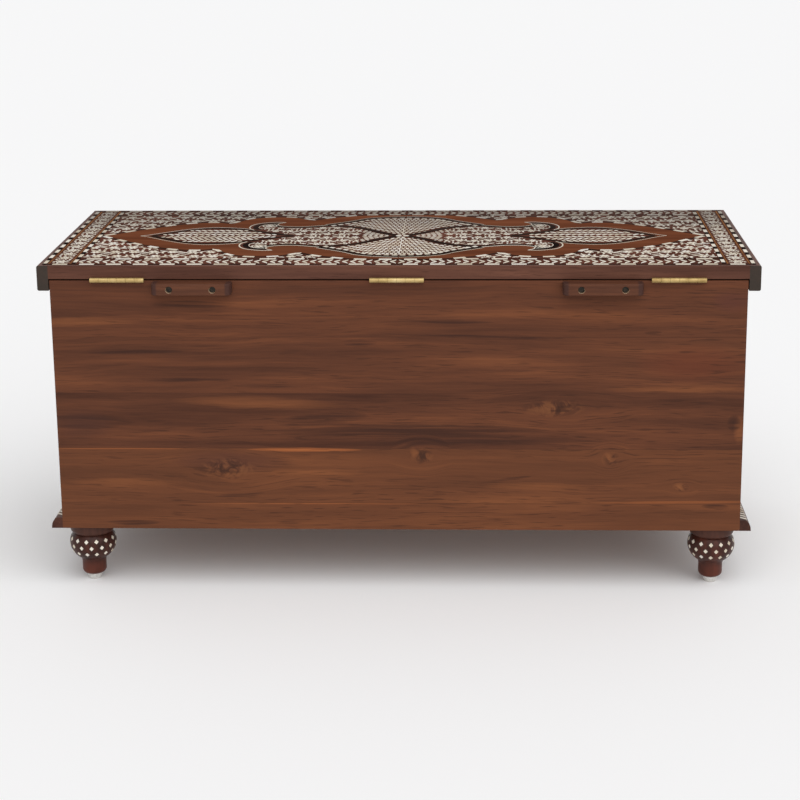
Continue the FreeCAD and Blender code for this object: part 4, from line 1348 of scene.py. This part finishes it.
def rosette(panel):
    """A side of the chest: the same borders and creepers about a round plate with eight lobes,
    whose radius is a base plus a lobe's share of the size of the cosine of four times the angle."""
    angle = np.linspace(0.0, TURN, 257)
    circle = np.stack([np.cos(angle), np.sin(angle)], -1)
    swell = 1.0 - LOBE_SHARE + LOBE_SHARE * np.abs(np.cos(4.0 * angle)) ** LOBE_ROUND
    loop = ROSETTE_RADIUS * swell[:, None] * circle
    core = CORE_SHARE * ROSETTE_RADIUS * circle

    def disc(ring):
        return HUB_SHARE * ring[None], ring[None]

    panel.lay("rosette_plate", [disc(loop)], PLATE_TOP, "inlaid_wood", CARTOUCHE)
    panel.lay("rosette_fill", [disc(core)], FILL_TOP, "lac", GROUND)
    panel.lay("outlines", [ribbon(core, 0.0, OUTLINE_WIDE)], RIM_TOP, "lac", RIM)
    panel.lay("lobe_lac", [ribbon(loop, 0.5 * LOBE_WIDE, LOBE_WIDE)], RIM_TOP, "lac", OUTLINE)
    pale = [ribbon(core, -RIM_LINE_OFF, CORE_LINE_WIDE), bricks(core, *HEAD_BLOCKS)]
    pale.append(bricks(loop, *LOBE_BLOCKS))
    chips = ring_chips(ROSETTE_RINGS, *FAN_CHIPS)
    chips = fitted(chips, room_inside(chips, core) - FAN_EDGE, FAN_LEAST, 0.0)
    panel.lay("rosette_chips", pale + [dash_edges(chips)], CHIP_TOP, "bone", BONE, HAIR)
    borders(panel, loop)
    field_leaves(panel, loop)


for side_name, sign in (("left", -1.0), ("right", 1.0)):
    side_face = Face((-sign * SIDE_LOW[0], SIDE_MIDDLE, WALL_MIDDLE), (0, sign, 0), (0, 0, 1))
    rosette(Panel(side_face, side_name, "chest", SIDE_HALF_X, WALL_HALF_Y))


# Edges of the lid: leaves by pitch, place, heading and size, the buds and the two white lines

LIP_PITCH = 22.0
LIP_LEAF_BACK, LIP_LEAF_UP, LIP_LEAF_HEADING = 4.6, 4.4, 2.5
LIP_LEAF_LONG, LIP_LEAF_WIDE, LIP_LEAF_BOW = 12.5, 4.6, 0.5
BUD_AHEAD, BUD_LONG, BUD_WIDE = 5.2, 6.4, 4.4
LIP_LINE_UP, LIP_LINE_WIDE, LIP_LINE_STEP = 12.2, 1.4, 80.0
LIP_SHORT = 8.0


def lip_band(name, x, y, across, half_x):
    """A lip's outer face: slanted leaves in pairs that meet at buds, between two white lines."""
    height = 0.5 * (LIP_LOW[2] + LIP_HIGH[2])
    panel = Panel(Face((x, y, height), across, (0, 0, 1)), name, "lid", half_x, LIP_LINE_UP)
    count = round(2.0 * half_x / LIP_PITCH)
    at = -half_x + (np.arange(count) + 0.5) * 2.0 * half_x / count
    up = leaf_rows(
        at - LIP_LEAF_BACK, LIP_LEAF_UP, LIP_LEAF_HEADING, LIP_LEAF_LONG, LIP_LEAF_WIDE, LIP_LEAF_BOW
    )
    buds = leaf_rows(at + BUD_AHEAD, 0.0, 0.0, BUD_LONG, BUD_WIDE, 0.0)
    pairs = [leaf_edges(np.vstack([up, mirror_y(up), buds]))]
    for level in (LIP_LINE_UP, -LIP_LINE_UP):
        pairs.append(ribbon(line(-half_x, level, half_x, level), 0.0, LIP_LINE_WIDE, LIP_LINE_STEP))
    panel.lay("leaves", pairs, CHIP_TOP, "bone", BONE)


lip_band("lip_front", 0.0, LIP_LOW[1], (1, 0, 0), LID_HALF_X - LIP_SHORT)
lip_band("lip_left", -LID_HALF_X, LID_MIDDLE, (0, -1, 0), LID_HALF_Y - LIP_SHORT)
lip_band("lip_right", LID_HALF_X, LID_MIDDLE, (0, 1, 0), LID_HALF_Y - LIP_SHORT)


# The plinth's rope: pitch, width, length, half slant and plain ends

ROPE_PITCH, ROPE_WIDE, ROPE_LONG, ROPE_SLANT, ROPE_PLAIN = 10.0, 4.8, 9.8, 3.6, 4.0

# The rope's line: off the wall, past the front's corners, short of the back and behind the front

LEDGE_OFF, LEDGE_PAST, LEDGE_SHORT, LEDGE_BEHIND = 5.4, 6.5, 3.0, 3.5
LEDGE_FRONT, LEDGE_SIDE = FRONT_LOW[1] - LEDGE_OFF, FRONT_HIGH[0] + LEDGE_OFF
LEDGE_REACH = FRONT_HIGH[0] + LEDGE_PAST
LEDGE_BACK, LEDGE_FORE = LEDGE_HIGH[1] - LEDGE_SHORT, FRONT_LOW[1] + LEDGE_BEHIND


def rope_ledge(name, path):
    """Slanted stripes of bone along the flat top of the plinth, at an even pitch."""
    face = Face((0.0, 0.0, LEDGE_HIGH[2]), (1, 0, 0), (0, 1, 0))
    run = running_length(path)[-1] - 2.0 * ROPE_PLAIN
    count = max(1, round(run / ROPE_PITCH))
    start = ROPE_PLAIN + np.arange(count) * run / count
    stripes = strips(path, start, start + ROPE_WIDE, 0.0, ROPE_LONG, 2, ROPE_SLANT)
    add_piece(name, [face.bars(stripes, SUNK, CHIP_TOP)], "chest", BONE)


rope_ledge("plinth_front_stripes", line(-LEDGE_REACH, LEDGE_FRONT, LEDGE_REACH, LEDGE_FRONT))
rope_ledge("plinth_left_stripes", line(-LEDGE_SIDE, LEDGE_BACK, -LEDGE_SIDE, LEDGE_FORE))
rope_ledge("plinth_right_stripes", line(LEDGE_SIDE, LEDGE_FORE, LEDGE_SIDE, LEDGE_BACK))


# Feet: rows of diamonds by height and turn, and a bulb's two arcs by middle and radius

DIAMOND_ROWS = ((57.2, 0.0), (47.6, 0.5), (37.4, 0.0))
DIAMONDS_PER_ROW = 14
DIAMOND_HALF = 3.1
DIAMOND_TURN = 0.25
DIAMOND_RISE = np.array([-1.0, 0.0, 1.0])
DIAMOND_BREADTH = np.array([0.08, 1.0, 0.08])
BULB_WIDEST = 50.0
BULB_LOWER_ARC = (6.05, 27.95)
BULB_UPPER_ARC = (13.44, 20.56)
SLOPE_STEP = 0.05


def bulb_radius(height):
    """Radius of a foot's bulb: two arcs that meet at its widest, one below and one above, each
    with its middle level with that and its own distance out."""
    drop = height - BULB_WIDEST
    low, high = (
        out + np.sqrt(np.maximum(radius**2 - drop**2, 0.0))
        for out, radius in (BULB_LOWER_ARC, BULB_UPPER_ARC)
    )
    return np.where(drop < 0.0, low, high)


def bulb_slope(height):
    """How fast a bulb's radius grows with height, from a small step to either side."""
    rise = bulb_radius(height + SLOPE_STEP) - bulb_radius(height - SLOPE_STEP)
    return rise / (2.0 * SLOPE_STEP)


def on_bulb(angle, height, lift):
    """Points on a bulb by angle and height above its foot, lifted along its normal."""
    slope = bulb_slope(height)
    tilt = np.sqrt(1.0 + slope**2)
    reach = bulb_radius(height) + lift / tilt
    return np.stack([reach * np.cos(angle), reach * np.sin(angle), height - lift * slope / tilt], -1)


def foot_diamonds(foot):
    """Bone diamonds on a foot's bulb: three staggered rows, each diamond a kite of three rungs
    that is narrow at its foot and head and wide at its middle."""
    low, high = box_of(foot)
    base = np.append(0.5 * (low + high)[:2], low[2])
    rows = np.array(DIAMOND_ROWS)
    k = np.arange(DIAMONDS_PER_ROW)
    angle = (TURN * (k + rows[:, 1:] + DIAMOND_TURN) / DIAMONDS_PER_ROW).ravel()[:, None]
    height = np.repeat(rows[:, 0], DIAMONDS_PER_ROW)[:, None]
    half = DIAMOND_BREADTH * DIAMOND_HALF / bulb_radius(height)
    level = height + DIAMOND_RISE * DIAMOND_HALF / np.sqrt(1.0 + bulb_slope(height) ** 2)
    corners = [
        on_bulb(angle - half, level, SUNK),
        on_bulb(angle + half, level, SUNK),
        on_bulb(angle + half, level, CHIP_TOP),
        on_bulb(angle - half, level, CHIP_TOP),
    ]
    points = (np.stack(corners, 2) + base) * MM
    add_piece(f"{foot}_diamonds", [points], "chest", BONE)


for corner_foot in ("foot_front_left", "foot_front_right", "foot_back_left", "foot_back_right"):
    foot_diamonds(corner_foot)


# Floor, light and camera

FLOOR_REACH = 40.0
PALE = (0.97, 0.97, 0.975, 1.0)
WHITE = (1.0, 1.0, 1.0, 1.0)
BACKDROP = (0.925, 0.925, 0.93, 1.0)
SKY_LIGHT = 0.55
SUN_TOWARD, SUN_LIGHT, SUN_SPREAD = (0.30, -0.62, -0.80), 1.70, 80.0
CAMERA_AT = (-0.1150, 2.7746, 1.0509)
CAMERA_PITCH, CAMERA_YAW, CAMERA_ROLL = 14.11, 1.965, -0.438
CAMERA_LENS, SENSOR_WIDE = 84.96, 36.0
SHIFT_X, SHIFT_Y = -0.02, -0.1


def floor():
    """A plain pale floor: one flat sheet, far larger than the view."""
    mesh = bpy.data.meshes.new("floor")
    corners = np.array([(-1, -1, 0), (1, -1, 0), (1, 1, 0), (-1, 1, 0)], float) * FLOOR_REACH
    mesh.from_pydata(corners, [], np.array([[0, 1, 2, 3]]))
    sheet = bpy.data.objects.new("floor", mesh)
    bpy.context.scene.collection.objects.link(sheet)
    material, place = start_finish("floor_paper")
    surface = place.node("ShaderNodeBsdfDiffuse", {}, {"Color": PALE})
    place.node("ShaderNodeOutputMaterial", {}, {"Surface": surface})
    mesh.materials.append(material)


def studio_world():
    """Even light from all round, and a pale backdrop for the camera, mirrors and glass."""
    world = bpy.data.worlds.new("studio")
    bpy.context.scene.world = world
    world.use_nodes = True
    tree = world.node_tree
    tree.nodes.clear()
    wire = Wire(tree)
    path = wire.node("ShaderNodeLightPath").socket.node
    rays = ("Is Camera Ray", "Is Glossy Ray", "Is Transmission Ray")
    seen = most_of(Wire(tree, path.outputs[ray]) for ray in rays)
    glow = wire.node("ShaderNodeBackground", {}, {"Color": WHITE, "Strength": SKY_LIGHT})
    back = wire.node("ShaderNodeBackground", {}, {"Color": BACKDROP, "Strength": 1.0})
    both = wire.node("ShaderNodeMixShader", {}, {0: seen, 1: glow, 2: back})
    wire.node("ShaderNodeOutputWorld", {}, {"Surface": both})


def soft_sun():
    """A wide soft lamp whose light travels in one direction everywhere."""
    lamp = bpy.data.lights.new("key", "SUN")
    lamp.energy = SUN_LIGHT
    lamp.angle = math.radians(SUN_SPREAD)
    holder = bpy.data.objects.new("key", lamp)
    holder.rotation_mode = "QUATERNION"
    holder.rotation_quaternion = Vector(SUN_TOWARD).to_track_quat("-Z", "Y")
    bpy.context.scene.collection.objects.link(holder)


def camera():
    """The view from behind and a little above: looking along -Y, pitched down, with a slight
    turn and tilt."""
    yaw, pitch, roll = (math.radians(angle) for angle in (CAMERA_YAW, CAMERA_PITCH, CAMERA_ROLL))
    level = Vector((math.sin(yaw), -math.cos(yaw), 0.0))
    right = Vector((-math.cos(yaw), -math.sin(yaw), 0.0))
    ahead = level * math.cos(pitch) - Vector((0.0, 0.0, math.sin(pitch)))
    up = level * math.sin(pitch) + Vector((0.0, 0.0, math.cos(pitch)))
    tilted = right * math.cos(roll) + up * math.sin(roll)
    top = up * math.cos(roll) - right * math.sin(roll)
    turn = Matrix((tilted, top, -ahead)).transposed().to_4x4()
    lens = bpy.data.cameras.new("view")
    lens.lens = CAMERA_LENS
    lens.sensor_width = SENSOR_WIDE
    lens.shift_x = SHIFT_X
    lens.shift_y = SHIFT_Y
    holder = bpy.data.objects.new("view", lens)
    holder.matrix_world = Matrix.Translation(CAMERA_AT) @ turn
    bpy.context.scene.collection.objects.link(holder)
    bpy.context.scene.camera = holder


floor()
studio_world()
soft_sun()
camera()
bpy.context.scene.view_settings.view_transform = "Standard"
